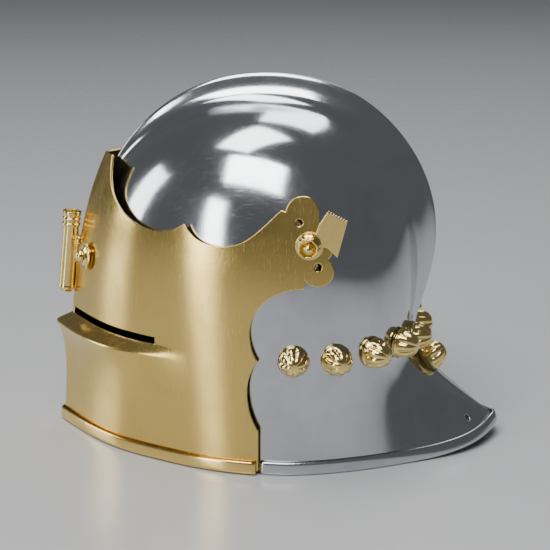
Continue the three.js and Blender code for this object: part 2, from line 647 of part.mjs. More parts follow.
function makeBuckle() {
  const bar = [BAR_X, STRAP_Y, BAR_Z];
  const frontX = BAR_X - BUCKLE_LENGTH;
  const rod = (length, point, direction) => toSolid(along(roundRod(BAR_R, length, 10), point, direction));
  const half = BUCKLE_WIDTH / 2;
  const middleX = (BAR_X + frontX) / 2;
  const frame = rod(BUCKLE_WIDTH + 2 * BAR_R, bar, [0, 1, 0])
    .add(rod(BUCKLE_WIDTH + 2 * BAR_R, [frontX, STRAP_Y, BAR_Z], [0, 1, 0]))
    .add(rod(BUCKLE_LENGTH, [middleX, STRAP_Y - half, BAR_Z], [1, 0, 0]))
    .add(rod(BUCKLE_LENGTH, [middleX, STRAP_Y + half, BAR_Z], [1, 0, 0]));
  place('strap_buckle', toGeometry(frame), brass);

  const collar = ring(BAR_R + GAP, BAR_R + GAP + 1.3, -1.6, 1.6, 14);
  const prongZ = BAR_Z + BAR_R + GAP + TONGUE_R;
  const prong = along(roundRod(TONGUE_R, BUCKLE_LENGTH + 1, 8),
    [BAR_X - (BUCKLE_LENGTH + 1) / 2 - 0.4, STRAP_Y, prongZ], [1, 0, 0]);
  const tongue = toSolid(along(collar, bar, [0, 1, 0])).add(toSolid(prong));
  place('buckle_tongue', toGeometry(tongue), brass);

  const keeperX = BAR_X + 17;
  const middleZ = FLOOR_Z + STRAP_THICK / 2;
  const outer = new THREE.BoxGeometry(7, STRAP_WIDTH + 4.4, STRAP_THICK + 3.8);
  const inner = new THREE.BoxGeometry(9, STRAP_WIDTH + 2 * GAP, STRAP_THICK + 2 * GAP + 0.3);
  const loop = toSolid(outer.translate(keeperX, STRAP_Y, middleZ + 0.1))
    .subtract(toSolid(inner.translate(keeperX, STRAP_Y, middleZ)));
  place('strap_keeper', toGeometry(loop), leather);
}

// ---- Pivots ----------------------------------------------------------------------------------
const ARM_FACE_X = visorSurface.nearest([108, PIVOT_Y, PIVOT_Z]).point[0];
const SKULL_FACE_X = skullSurface.nearest([101, PIVOT_Y, PIVOT_Z]).point[0];
const ARM_TILT_ROOM = 1.3;        // a flat washer stands this far off the leaning arm
const SKULL_LEAN_ROOM = 4.5;
const WASHER_X = ARM_FACE_X + ARM_TILT_ROOM;
const WASHER_THICK = 1.4;
const WASHER_R = 9.6;
const HEAD_R = 8.6;
const HEAD_H = 12;
const HEAD_X = WASHER_X + WASHER_THICK + GAP;

// The washer's flag, a tab with a row of small teeth along its upper edge: offsets from the pivot.
function flagOutline() {
  const [low, high] = [[12, 24], [26, 17]];
  const teeth = 8;
  const edge = [];
  for (let tooth = 0; tooth < teeth; tooth++) {
    [[0.15, 0], [0.35, 1.1], [0.65, 1.1], [0.85, 0]].forEach(([share, rise]) => {
      const at = (tooth + share) / teeth;
      const [y, z] = [low[0] + (high[0] - low[0]) * at, low[1] + (high[1] - low[1]) * at];
      edge.push([y + rise * 0.45, z + rise * 0.89]);
    });
  }
  return [[4, 7], [19.5, -7.5], ...edge.reverse(), [6.5, 15]]
    .map(([y, z]) => [y + PIVOT_Y, z + PIVOT_Z]);
}

function makePivots() {
  ['left', 'right'].forEach((side) => {
    const sign = side === 'left' ? 1 : -1;
    const axis = [sign, 0, 0];
    const at = (x) => [sign * x, PIVOT_Y, PIVOT_Z];

    const disc = toSolid(along(roundRod(WASHER_R, WASHER_THICK, 24), at(WASHER_X + WASHER_THICK / 2), axis));
    const flag = sidePrism(flagOutline(), Math.min(sign * WASHER_X, sign * (WASHER_X + WASHER_THICK)),
      Math.max(sign * WASHER_X, sign * (WASHER_X + WASHER_THICK)));
    const bore = along(roundRod(PIVOT_SHANK_R + GAP, 20, 16), at(WASHER_X), axis);
    place(`pivot_washer_${side}`, toGeometry(disc.add(toSolid(flag)).subtract(toSolid(bore))), brass);

    const spacerLow = SKULL_FACE_X + SKULL_LEAN_ROOM;
    const spacerHigh = ARM_FACE_X - VISOR_SHEET - ARM_TILT_ROOM;
    place(`pivot_spacer_${side}`,
      along(ring(PIVOT_SHANK_R + GAP, 6.5, spacerLow, spacerHigh, 16), [0, PIVOT_Y, PIVOT_Z], axis), brass);

    const burrHigh = SKULL_FACE_X - SKULL_SHEET - SKULL_LEAN_ROOM;
    const burrLow = burrHigh - 1.2;
    place(`pivot_burr_${side}`,
      along(ring(PIVOT_SHANK_R + GAP, 6.4, burrLow, burrHigh, 14), [0, PIVOT_Y, PIVOT_Z], axis), iron);

    const profile = [[0, burrLow - 2.2], [4, burrLow - 1.6], [4.8, burrLow - GAP], [PIVOT_SHANK_R, burrLow - GAP],
      [PIVOT_SHANK_R, HEAD_X], [HEAD_R, HEAD_X], [HEAD_R, HEAD_X + 1.6], [HEAD_R * 0.82, HEAD_X + 2.6],
      [HEAD_R * 0.78, HEAD_X + 5], [HEAD_R * 0.6, HEAD_X + 8], [4, HEAD_X + 9],
      [2.9, HEAD_X + HEAD_H - 1], [0, HEAD_X + HEAD_H]];
    place(`pivot_rivet_${side}`, along(turned(profile, 16), [0, PIVOT_Y, PIVOT_Z], axis), brass);
  });
}

// ---- Plume tube ------------------------------------------------------------------------------
function makePlumeTube() {
  const axis = add(TUBE_TOP, TUBE_FOOT, -1);
  const length = Math.hypot(...axis);
  const mouth = length - 10;
  const profile = [[0, 0], [TUBE_R - 1.6, 0], [TUBE_R, 2], [TUBE_R, mouth], [TUBE_R + 0.8, mouth + 0.8],
    [TUBE_R + 0.8, mouth + 3], [TUBE_R + 0.1, mouth + 4], [TUBE_R + 0.1, length - 4],
    [TUBE_R + 0.9, length - 3], [TUBE_R + 0.9, length], [TUBE_R - TUBE_WALL, length],
    [TUBE_R - TUBE_WALL, TUBE_FLOOR], [0, TUBE_FLOOR]];
  // The foot's back is cut away on a slant, clear of the visor.
  const [, footY, footZ] = TUBE_FOOT;
  const heel = sidePrism([[footY + 2, footZ - 2], [footY + 12, footZ - 2], [footY + 12, footZ + 17]], -10, 10);
  const tube = toSolid(along(turned(profile, 16), TUBE_FOOT, axis)).subtract(toSolid(heel));
  place('plume_tube', toGeometry(tube), brass);

  const half = SADDLE_LENGTH / 2;
  const middle = visorSurface.nearest([0, -152, SADDLE_Z]);
  const reach = ROSETTE_X + 5;
  const grid = (lift) => [SADDLE_Z - 6, SADDLE_Z + 6].map((z) => evenly(14, -reach, reach).map((x) => {
    const { point, normal } = visorSurface.nearest([x, middle.point[1] + Math.abs(x) * 0.55, z]);
    return add(point, normal, lift);
  }));
  const ears = toSolid(solidBetween(grid(GAP + SADDLE_THICK), grid(GAP)));
  const [frontY, backY] = [TUBE_FOOT[1], middle.point[1] - GAP - SADDLE_THICK / 2];
  const block = [[frontY, SADDLE_Z - half], [backY - 0.8, SADDLE_Z - half], [backY, SADDLE_Z - 6],
    [backY + 1, SADDLE_Z + 6], [backY + 1.2, SADDLE_Z + half], [frontY, SADDLE_Z + half]];
  const bed = along(roundRod(TUBE_R + GAP, length * 2, 20), TUBE_FOOT, axis);
  // The cradle stops behind the tube, so it holds the tube's back only.
  const axisY = (z) => footY + (z - footZ) * axis[1] / axis[2] + 2.8;
  const front = [[-200, 100], [axisY(100), 100], [axisY(175), 175], [-200, 175]];
  const cradle = toSolid(sidePrism(block, -4.6, 4.6)).subtract(toSolid(sidePrism(front, -20, 20)));
  const holes = saddleSeats.map(({ point, normal }) => (
    toSolid(along(roundRod(SADDLE_SHANK_R + GAP, 12, 8), point, normal))));
  const bracket = holes.reduce((solid, hole) => solid.subtract(hole), ears.add(cradle).subtract(toSolid(bed)));
  place('plume_bracket', toGeometry(bracket), brass);

  saddleSeats.forEach(({ name, point, normal }) => {
    const seat = 2 * GAP + SADDLE_THICK;
    place(`plume_rosette_${name}`, along(rosette(seat), point, normal), brass);
    const back = -(VISOR_SHEET + GAP);
    const top = seat + 2.2 + GAP;
    const profile = [[0, back - 1.4], [2.2, back - 1], [2.6, back], [SADDLE_SHANK_R, back],
      [SADDLE_SHANK_R, top], [4.4, top], [4.6, top + 1.2], [3.6, top + 3.6], [0, top + 5]];
    place(`plume_rivet_${name}`, along(turned(profile, 14), point, normal), brass);
  });
}

// A dished washer with eight petals.
function rosette(seat) {
  const hole = SADDLE_SHANK_R + GAP;
  const profile = [[hole, seat], [ROSETTE_R, seat], [ROSETTE_R, seat + 0.9], [6, seat + 2.2],
    [hole, seat + 2.2], [hole, seat]];
  const geometry = turned(profile, 24);
  const position = geometry.attributes.position;
  for (let index = 0; index < position.count; index++) {
    const [x, z] = [position.getX(index), position.getZ(index)];
    if (Math.hypot(x, z) > ROSETTE_R - 0.4) {
      const petal = 1 - 0.09 * (1 - Math.cos(8 * Math.atan2(x, z))) / 2;
      position.setX(index, x * petal);
      position.setZ(index, z * petal);
    }
  }
  return geometry;
}

const pivotHole = along(roundRod(PIVOT_SHANK_R + GAP, 300, 16), [0, PIVOT_Y, PIVOT_Z], [1, 0, 0]);
makeSkull(pivotHole);
makeVisor(pivotHole);
makeRims();
makePivots();
makePlumeTube();
makeLiningRivets();
makeBand();
makeLiner();
makeStraps();
makeBuckle();

export default helmet;
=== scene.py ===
"""The looks of a visored sallet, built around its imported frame: polished steel, brushed brass,
fluted rivets, a quilted linen lining and a buckled leather chin strap.

Lengths in this script are millimetres, as the helmet was designed, and `make_mesh` turns them
into metres. The helmet faces -Y, its left side is +X and it rests on z = 0."""
import math

import bpy
import numpy as np
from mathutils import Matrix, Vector
from mathutils.geometry import delaunay_2d_cdt


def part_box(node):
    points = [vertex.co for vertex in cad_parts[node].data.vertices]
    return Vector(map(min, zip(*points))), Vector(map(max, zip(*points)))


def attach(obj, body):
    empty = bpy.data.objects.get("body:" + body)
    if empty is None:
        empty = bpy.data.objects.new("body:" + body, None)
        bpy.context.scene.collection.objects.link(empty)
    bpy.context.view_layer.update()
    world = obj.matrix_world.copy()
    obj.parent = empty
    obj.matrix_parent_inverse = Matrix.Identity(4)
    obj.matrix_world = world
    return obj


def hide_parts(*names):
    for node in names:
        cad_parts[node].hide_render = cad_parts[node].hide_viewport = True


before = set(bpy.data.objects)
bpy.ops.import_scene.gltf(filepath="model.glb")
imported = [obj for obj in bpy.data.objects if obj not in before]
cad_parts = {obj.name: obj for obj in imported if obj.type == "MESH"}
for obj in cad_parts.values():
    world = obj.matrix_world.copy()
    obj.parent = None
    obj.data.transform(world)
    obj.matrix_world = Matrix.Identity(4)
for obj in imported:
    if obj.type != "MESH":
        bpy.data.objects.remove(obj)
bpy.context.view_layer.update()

MM = 0.001
scene = bpy.context.scene

# ---- The helmet's dimensions, in millimetres ----------------------------------------------------
GAP = 0.35
SKULL_SHEET = 2.0
VISOR_SHEET = 1.8
EDGE_HEIGHT = 2.8
RIM_HEIGHT = 9.4
RIM_PROUD = 2.9
RIM_STAND = 1.4
VISOR_LIFT = 0.5
PIVOT_Y, PIVOT_Z = 35, 168

# The skull's ribs from the brow, over the top, down the nape to the tail's point: the comb's
# crest [y, z], its height and half width, then shoulder, temple, waist and edge.
SKULL_RIBS = [
    [[-131, 186], 4, 8, [52, -106, 182], [91, -68, 148], [96, -38, 62], [98, -38]],
    [[-120, 217], 8, 9, [58, -92, 208], [98, -54, 152], [99, -23, 62], [101, -24]],
    [[-78, 263], 19, 12, [70, -54, 234], [109, -30, 156], [102.5, -6, 62], [104.5, -8]],
    [[-10, 279], 24, 13, [76, -8, 244], [112, 2, 158], [104.5, 12, 63], [108, 12]],
    [[62, 267], 24, 13, [73, 44, 230], [110, 34, 158], [102, 32, 65], [105, 34]],
    [[113, 213], 21, 13, [65, 83, 187], [99, 62, 142], [94, 54, 66], [97, 58]],
    [[127, 150], 18, 13, [60, 102, 140], [86, 80, 105], [79, 74, 66], [85, 84]],
    [[107, 92], 4, 11, [43, 101, 86], [63, 87, 74], [64, 88, 50], [68, 112]],
    [[104, 63], 1.5, 9, [32, 102, 61], [44, 100, 53], [50, 109, 32], [55, 137]],
    [[139, 35], 1.5, 7, [19, 139, 33], [26, 141, 28], [30, 148, 19], [33, 159]],
    [[168.5, 15], 0, 1, [1.6, 168.5, 14.2], [2.2, 168.5, 13.4], [2.7, 168.5, 12.6], [3.2, 168.5]],
]
TAIL_RISE, TAIL_LIFT_START_Y, TAIL_LIFT_LENGTH = 9, 105, 64

# The visor's level lines from its rim to its peak, from the middle plane [x, y] to behind the pivot.
VISOR_LEVELS = [
    [EDGE_HEIGHT + VISOR_LIFT,
     [[0, -166], [6, -161], [33, -140], [63, -112], [85.5, -75], [105.5, -37], [111.5, 4], [112, 58]]],
    [58, [[0, -162], [7, -157], [37, -136], [66, -109], [88.5, -73], [105.5, -37], [111.5, 4], [112, 58]]],
    [112, [[0, -158], [7, -153.5], [39, -133.5], [69, -107], [90.5, -72], [105.5, -37], [110.5, 4],
           [110, 58]]],
    [158, [[0, -150], [7, -146], [37, -129], [67, -104], [88.5, -71], [102, -37], [107, 4], [106.5, 58]]],
    [196, [[0, -139], [7, -135], [34, -119], [63, -98], [83.5, -69], [96.5, -37], [102, 4], [102, 58]]],
    [226, [[0, -124], [7, -120], [31, -106], [57, -88], [77, -63], [91, -35], [99, 4], [100, 58]]],
]
LIP_TOP_Z, LIP_RIDGE_Z = 88.5, 80
LIP_REACH, LIP_DECAY, LIP_FLARE = 12.6, 15, 2.2
LIP_FADE_START_Y, LIP_FADE_END_Y = -112, -52
SLIT_LOW_Z, SLIT_HIGH_Z, SLIT_BRIDGE_X, SLIT_END_Y = 87.5, 93.5, 5.5, -78
LOBE_HOLES = [[27.5, 183.5, 2.6], [41, 153, 2.8]]
CORD_HOLE, CORD_HOLE_R = [24, 147, 18], 2.4

RIVET_PLACES = {"front": ([104, 24, 84], 1), "temple": ([100, 55.5, 83.5], 1.1),
                "ear": ([84, 84, 84.5], 1.4), "back": ([53.5, 100.5, 84.5], 1.7),
                "neck": ([18, 108, 80.5], 2.6)}
NAPE_PLACE = ([0, 114, 55], 2.6)
RIVET_HEAD_R, RIVET_HEAD_H, RIVET_SHANK_R = 11.5, 14.5, 2
BURR_THICK, BURR_R = 1, 5.5
BAND_STAND, BAND_THICK, BAND_LOW_Z, BAND_HIGH_Z = 1.3, 2.4, 74, 97
BAND_CENTRE_Y, BAND_TURN = 10, 1.85
STRAP_WIDTH, STRAP_THICK, STRAP_Y = 16, 2.2, 24
BURR_TOP = SKULL_SHEET + BAND_STAND + BAND_THICK + 2 * GAP
STRAP_DEPTH = BURR_TOP + 1.2

TUBE_R, TUBE_WALL, TUBE_FLOOR = 6.2, 1.1, 9
TUBE_TOP, TUBE_FOOT = [0, -155.9, 167], [0, -162.6, 103.5]
SADDLE_Z, SADDLE_THICK, SADDLE_SHANK_R = 137, 1.6, 1.4
ROSETTE_X, ROSETTE_R = 23, 11.4

LINER_SIZE = (86, 90, 108)
BAR_X, BAR_R, FLOOR_Z = 30, 1.5, 2.6
EYE_R = BAR_R + GAP + STRAP_THICK
BAR_Z = FLOOR_Z + EYE_R
BUCKLE_LENGTH, BUCKLE_WIDTH, TONGUE_R = 19, 25, 1.1


# ---- Curved surfaces ------------------------------------------------------------------------------
def unit(vectors):
    return vectors / np.linalg.norm(vectors, axis=-1, keepdims=True)


def smoothstep(x, low, high):
    share = np.clip((x - low) / (high - low), 0, 1)
    return share * share * (3 - 2 * share)


def basis(count, t):
    """Each control point's weight on a clamped cubic B-spline of `count` points, at each t."""
    spans = count - 3
    x = np.clip(t, 0, 1) * spans
    knots = np.clip(np.arange(-3, spans + 4), 0, spans).astype(float)
    weights = np.zeros((len(x), count + 3))
    weights[np.arange(len(x)), np.minimum(x.astype(int), spans - 1) + 3] = 1
    for degree in (1, 2, 3):
        for i in range(count + 3 - degree):
            rise, fall = knots[i + degree] - knots[i], knots[i + degree + 1] - knots[i + 1]
            before = (x - knots[i]) / rise * weights[:, i] if rise > 0 else 0
            after = (knots[i + degree + 1] - x) / fall * weights[:, i + 1] if fall > 0 else 0
            weights[:, i] = before + after
    return weights[:, :count]


class Surface:
    """A spline surface from rows of points that run from the middle plane to the left edge.
    u is 0 to 1 over the rows, and v is -1 on the right edge to 1 on the left."""

    def __init__(self, half_rows, shaped=None):
        half = np.array(half_rows, float)
        self.net = np.concatenate([half[:, :0:-1] * (-1, 1, 1), half], axis=1)
        self.shaped = shaped or (lambda points: points)

    def point(self, u, v):
        across_u, across_v = basis(self.net.shape[0], u), basis(self.net.shape[1], (v + 1) / 2)
        rows = np.einsum("nc,rcx->nrx", across_v, self.net)
        return self.shaped(np.einsum("nr,nrx->nx", across_u, rows))

    def slopes(self, u, v, nudge=1e-3):
        u0, u1 = np.maximum(0, u - nudge), np.minimum(1, u + nudge)
        v0, v1 = np.maximum(-1, v - nudge), np.minimum(1, v + nudge)
        return ((self.point(u1, v) - self.point(u0, v)) / (u1 - u0)[:, None],
                (self.point(u, v1) - self.point(u, v0)) / (v1 - v0)[:, None])

    def normal(self, u, v):
        along_u, along_v = self.slopes(u, v)
        return unit(np.cross(along_v, along_u))

    def nearest(self, targets):
        """The (u, v) of the surface's nearest places to the targets."""
        targets = np.atleast_2d(np.array(targets, float))
        us, vs = [grid.ravel() for grid in np.meshgrid(np.linspace(0, 1, 49), np.linspace(-1, 1, 97))]
        known = self.point(us, vs)
        start = [np.argmin(((known - target) ** 2).sum(1)) for target in targets]
        u, v = us[start], vs[start]
        for _ in range(10):
            a, b = self.slopes(u, v)
            miss = targets - self.point(u, v)
            aa, ab, bb = (a * a).sum(1), (a * b).sum(1), (b * b).sum(1)
            am, bm = (a * miss).sum(1), (b * miss).sum(1)
            scale = aa * bb - ab * ab
            best = (miss ** 2).sum(1)
            for step in (1, 0.5, 0.25, 0.1):
                next_u = np.clip(u + step * (am * bb - bm * ab) / scale, 0, 1)
                next_v = np.clip(v + step * (bm * aa - am * ab) / scale, -1, 1)
                reach = ((targets - self.point(next_u, next_v)) ** 2).sum(1)
                better = reach < best
                u, v = np.where(better, next_u, u), np.where(better, next_v, v)
                best = np.minimum(best, reach)
        return u, v

    def seat(self, target):
        """The nearest place to one target, as its point and outward normal."""
        u, v = self.nearest([target])
        return self.point(u, v)[0], self.normal(u, v)[0]

    def find_v(self, u, value, axis):
        """The v, from 0 to 1, where the surface reaches a value along an axis at each u."""
        low, high = np.zeros(len(u)), np.ones(len(u))
        for _ in range(40):
            middle = (low + high) / 2
            short = self.point(u, middle)[:, axis] < value
            low, high = np.where(short, middle, low), np.where(short, high, middle)
        return (low + high) / 2


class Flat:
    """A plane to cut plates from: v runs along one direction and u along another."""

    def __init__(self, origin, across, up):
        self.origin, self.across, self.up = (np.array(x, float) for x in (origin, across, up))

    def point(self, u, v):
        return self.origin + v[:, None] * self.across + u[:, None] * self.up

    def normal(self, u, v):
        return np.tile(unit(np.cross(self.across, self.up)), (len(u), 1))


class Raised:
    """A surface lifted along another's normals."""

    def __init__(self, under, lift):
        self.under, self.lift = under, lift

    def point(self, u, v):
        return self.under.point(u, v) + self.under.normal(u, v) * self.lift

    def normal(self, u, v):
        return self.under.normal(u, v)


def edge_lift(y):
    return TAIL_RISE * min(max((y - TAIL_LIFT_START_Y) / TAIL_LIFT_LENGTH, 0), 1) ** 2


def skull_rows():
    rows = []
    for index, (crest, height, half, shoulder, temple, waist, edge) in enumerate(SKULL_RIBS):
        before = SKULL_RIBS[max(index - 1, 0)][0]
        after = SKULL_RIBS[min(index + 1, len(SKULL_RIBS) - 1)][0]
        inward = unit(np.array([after[1] - before[1], before[0] - after[0]], float))

        def on_comb(x, depth):
            return [x, crest[0] + inward[0] * depth, crest[1] + inward[1] * depth]
        rows.append([on_comb(0, 0), on_comb(min(1.8, half * 0.3), 0), on_comb(half * 0.36, height * 0.5),
                     on_comb(half, height), shoulder, temple, waist,
                     [edge[0], edge[1], EDGE_HEIGHT + edge_lift(edge[1])]])
    return rows


def with_lip(points):
    """Pushes the visor outwards below its sight slits, most at the ridge, and only round the front."""
    x, y, z = points.T
    below = np.maximum(0, LIP_RIDGE_Z - z)
    reach = (1 - smoothstep(z, LIP_RIDGE_Z, LIP_TOP_Z)) * (
        LIP_FLARE + (LIP_REACH - LIP_FLARE) * np.exp(-below / LIP_DECAY))
    fade = 1 - smoothstep(y, LIP_FADE_START_Y, LIP_FADE_END_Y)
    push = reach * fade / np.hypot(x, y - PIVOT_Y)
    return np.stack([x + x * push, y + (y - PIVOT_Y) * push, z], axis=1)


skull = Surface(skull_rows())
visor = Surface([[[x, y, z] for x, y in line] for z, line in VISOR_LEVELS], with_lip)


# ---- Meshes -----------------------------------------------------------------------------------------
def make_mesh(name, points, faces, normals=None, uvs=None, mirror=False):
    points = np.array(points, float)
    if mirror:
        points = points * (-1, 1, 1)
        faces = [list(face)[::-1] for face in faces]
        normals = None if normals is None else normals * (-1, 1, 1)
    mesh = bpy.data.meshes.new(name)
    mesh.from_pydata((points * MM).tolist(), [], [[int(i) for i in face] for face in faces])
    mesh.shade_smooth()
    if uvs is not None:
        layer = mesh.uv_layers.new(name="sheet")
        corner = np.zeros(len(mesh.loops), np.int32)
        mesh.loops.foreach_get("vertex_index", corner)
        layer.data.foreach_set("uv", (np.array(uvs)[corner] * MM).astype(np.float32).ravel())
    if normals is not None:
        mesh.normals_split_custom_set_from_vertices(normals.tolist())
    return mesh


def add_piece(name, mesh, body, material, slot, *nodes, inside=None):
    """A visible piece that rides on a CAD body and stands for the CAD nodes. A sheet's inner face
    can have a material of its own."""
    obj = bpy.data.objects.new(name, mesh)
    scene.collection.objects.link(obj)
    mesh.materials.append(material)
    mesh.materials.append(inside or material)
    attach(obj, body)
    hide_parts(*nodes)
    return obj


def inside(points, loop):
    """Whether each point lies in a closed loop."""
    x, y = points[:, 0, None], points[:, 1, None]
    x0, y0 = loop.T
    x1, y1 = np.roll(x0, -1), np.roll(y0, -1)
    crosses = (y0 > y) != (y1 > y)
    level = np.where(y1 == y0, 1, y1 - y0)
    return (crosses & (x < (x1 - x0) * (y - y0) / level + x0)).sum(1) % 2 == 1


def trimmed_net(outline, holes, vs, us, scale, clear):
    """Triangles over a grid of places (v, u) inside an outline and outside its holes."""
    scale = np.array(scale, float)
    loops = [np.array(loop) * scale for loop in (outline, *holes)]
    grid = np.stack([g.ravel() for g in np.meshgrid(vs, us)], axis=1) * scale
    border = np.concatenate(loops)
    kept = []
    for part in np.array_split(grid, max(1, len(grid) // 4000)):
        near = ((part[:, None] - border[None]) ** 2).sum(2).min(1) < clear ** 2
        good = inside(part, loops[0]) & ~near
        for hole in loops[1:]:
            good &= ~inside(part, hole)
        kept.append(part[good])
    verts = np.concatenate([*loops, *kept])
    edges, first = [], 0
    for loop in loops:
        edges += [(first + i, first + (i + 1) % len(loop)) for i in range(len(loop))]
        first += len(loop)
    found, _, triangles, *_ = delaunay_2d_cdt([Vector(p) for p in verts], edges, [], 0, 1e-7, False)
    net = np.array([tuple(p) for p in found])
    triangles = np.array([list(t) for t in triangles])
    a, b, c = (net[triangles[:, i]] for i in range(3))
    middle = (a + b + c) / 3
    good = inside(middle, loops[0])
    for hole in loops[1:]:
        good &= ~inside(middle, hole)
    turn = (b[:, 0] - a[:, 0]) * (c[:, 1] - a[:, 1]) - (b[:, 1] - a[:, 1]) * (c[:, 0] - a[:, 0])
    triangles[turn < 0] = triangles[turn < 0][:, ::-1]
    triangles = triangles[good & (abs(turn) > 1e-9)]
    used, index = np.unique(triangles, return_inverse=True)
    return net[used] / scale, index.reshape(-1, 3)


def sheet_mesh(name, surface, net, triangles, thickness, lengths, round_steps=5, mirror=False):
    """A sheet of even thickness under a surface, with rounded edges round its outline and holes."""
    v, u = net.T
    outer, normal = surface.point(u, v), surface.normal(u, v)
    count = len(outer)
    half = thickness / 2
    starts, ends = triangles.ravel(), np.roll(triangles, -1, axis=1).ravel()
    border = ~np.isin(starts * count + ends, ends * count + starts)
    starts, ends = starts[border], ends[border]
    outward = np.zeros((count, 3))
    direction = np.cross(unit(outer[ends] - outer[starts]), normal[starts])
    np.add.at(outward, starts, direction)
    np.add.at(outward, ends, direction)
    rims = np.unique(starts)
    place = np.full(count, -1)
    place[rims] = np.arange(len(rims))
    side, up, middle = unit(outward[rims]), normal[rims], outer[rims] - normal[rims] * half
    points, normals = [outer, outer - normal * thickness], [normal, -normal]
    bulge = half * 0.8
    for step in range(1, round_steps + 1):
        angle = math.pi * step / (round_steps + 1)
        across, rise = math.sin(angle), math.cos(angle)
        points.append(middle + side * bulge * across ** 0.6
                      + up * half * math.copysign(abs(rise) ** 0.6, rise))
        normals.append(unit(side * across ** 1.4 / bulge
                            + up * math.copysign(abs(rise) ** 1.4, rise) / half))
    rings = [lambda i: i]
    for step in range(round_steps):
        rings.append(lambda i, step=step: 2 * count + step * len(rims) + place[i])
    rings.append(lambda i: count + i)
    faces = [*triangles.tolist(), *(triangles[:, ::-1] + count).tolist()]
    for near, far in zip(rings, rings[1:]):
        faces += np.stack([near(ends), near(starts), far(starts), far(ends)], axis=1).tolist()
    flat = net * np.array(lengths)
    uvs = np.concatenate([flat, flat, *[flat[rims]] * round_steps])
    mesh = make_mesh(name, np.concatenate(points), faces, np.concatenate(normals), uvs, mirror)
    sides = np.zeros(len(faces), np.int32)
    sides[len(triangles):2 * len(triangles)] = 1
    mesh.polygons.foreach_set("material_index", sides)
    return mesh


def path(start, *segments, step=1.2):
    """Points along a run of lines and Bezier curves, each given by its further control points."""
    points = [np.array(start, float)]
    for segment in segments:
        control = np.array([points[-1], *segment], float)
        degree = len(control) - 1
        length = np.linalg.norm(np.diff(control, axis=0), axis=1).sum()
        t = np.linspace(0, 1, max(2, int(length / step) + 1))[1:, None]
        points += list(sum(math.comb(degree, i) * t ** i * (1 - t) ** (degree - i) * control[i]
                           for i in range(degree + 1)))
    return np.array(points)


def inset(loop, distance):
    """A closed anticlockwise loop moved inwards."""
    along = unit(np.roll(loop, -1, axis=0) - np.roll(loop, 1, axis=0))
    return loop + np.stack([-along[:, 1], along[:, 0]], axis=1) * distance


def circle(centre, radius, count):
    angles = np.linspace(0, 2 * math.pi, count, endpoint=False)
    return np.array(centre) + radius * np.stack([np.cos(angles), np.sin(angles)], axis=1)


def eased(profile, radius, steps=3, closed=False):
    """A profile with its corners rounded."""
    profile = [np.array(p, float) for p in profile]
    count = len(profile)
    points = [] if closed else [profile[0]]
    for i in range(0 if closed else 1, count if closed else count - 1):
        corner, before, after = profile[i], profile[i - 1], profile[(i + 1) % count]
        back, forth = before - corner, after - corner
        lengths = np.linalg.norm(back), np.linalg.norm(forth)
        start = corner + back / lengths[0] * min(radius, lengths[0] * 0.45)
        end = corner + forth / lengths[1] * min(radius, lengths[1] * 0.45)
        for t in np.linspace(0, 1, steps + 1):
            points.append((1 - t) ** 2 * start + 2 * t * (1 - t) * corner + t * t * end)
    if not closed:
        points.append(profile[-1])
    return points


def turned(profile, segments=48, shape=None):
    """A solid turned about +Z from [radius, height] points that start and end on the axis, or that
    close into a ring. `shape` changes the points of a ring from its radius, height and angles."""
    angles = np.linspace(0, 2 * math.pi, segments, endpoint=False)
    points, rings = [], []
    for r, h in profile:
        if r < 1e-6:
            rings.append([len(points)])
            points.append([0, 0, h])
            continue
        reach = np.full(segments, float(r)) if shape is None else shape(r, h, angles)
        rings.append(list(range(len(points), len(points) + segments)))
        points += np.stack([reach * np.cos(angles), reach * np.sin(angles),
                            np.full(segments, float(h))], axis=1).tolist()
    if len(rings[0]) > 1:
        rings.append(rings[0])
    faces = []
    for low, high in zip(rings, rings[1:]):
        for i in range(segments):
            j = (i + 1) % segments
            if len(low) == 1:
                faces.append([low[0], high[j], high[i]])
            elif len(high) == 1:
                faces.append([low[i], low[j], high[0]])
            else:
                faces.append([low[i], low[j], high[j], high[i]])
    return np.array(points), faces


def seated(shape, point, direction):
    """Stands a turned solid on a point, along a direction."""
    points, faces = shape
    turn = np.array(Vector((0, 0, 1)).rotation_difference(Vector(direction)).to_matrix())
    return points @ turn.T + np.array(point), faces


def swept(sections, closed=False):
    """A bar through equal closed sections, capped at both ends unless it closes on itself."""
    sections = np.array(sections)
    count = sections.shape[1]
    faces = []
    last = len(sections) if closed else len(sections) - 1
    for s in range(last):
        for i in range(count):
            a, b = s * count + i, s * count + (i + 1) % count
            step = ((s + 1) % len(sections) - s) * count
            faces.append([a, a + step, b + step, b])
    if not closed:
        end = (len(sections) - 1) * count
        faces.append(list(range(count)))
        faces.append([end + i for i in reversed(range(count))])
    return sections.reshape(-1, 3), faces


# ---- Materials --------------------------------------------------------------------------------------
def value(source):
    return source.outputs[0] if isinstance(source, bpy.types.Node) else source


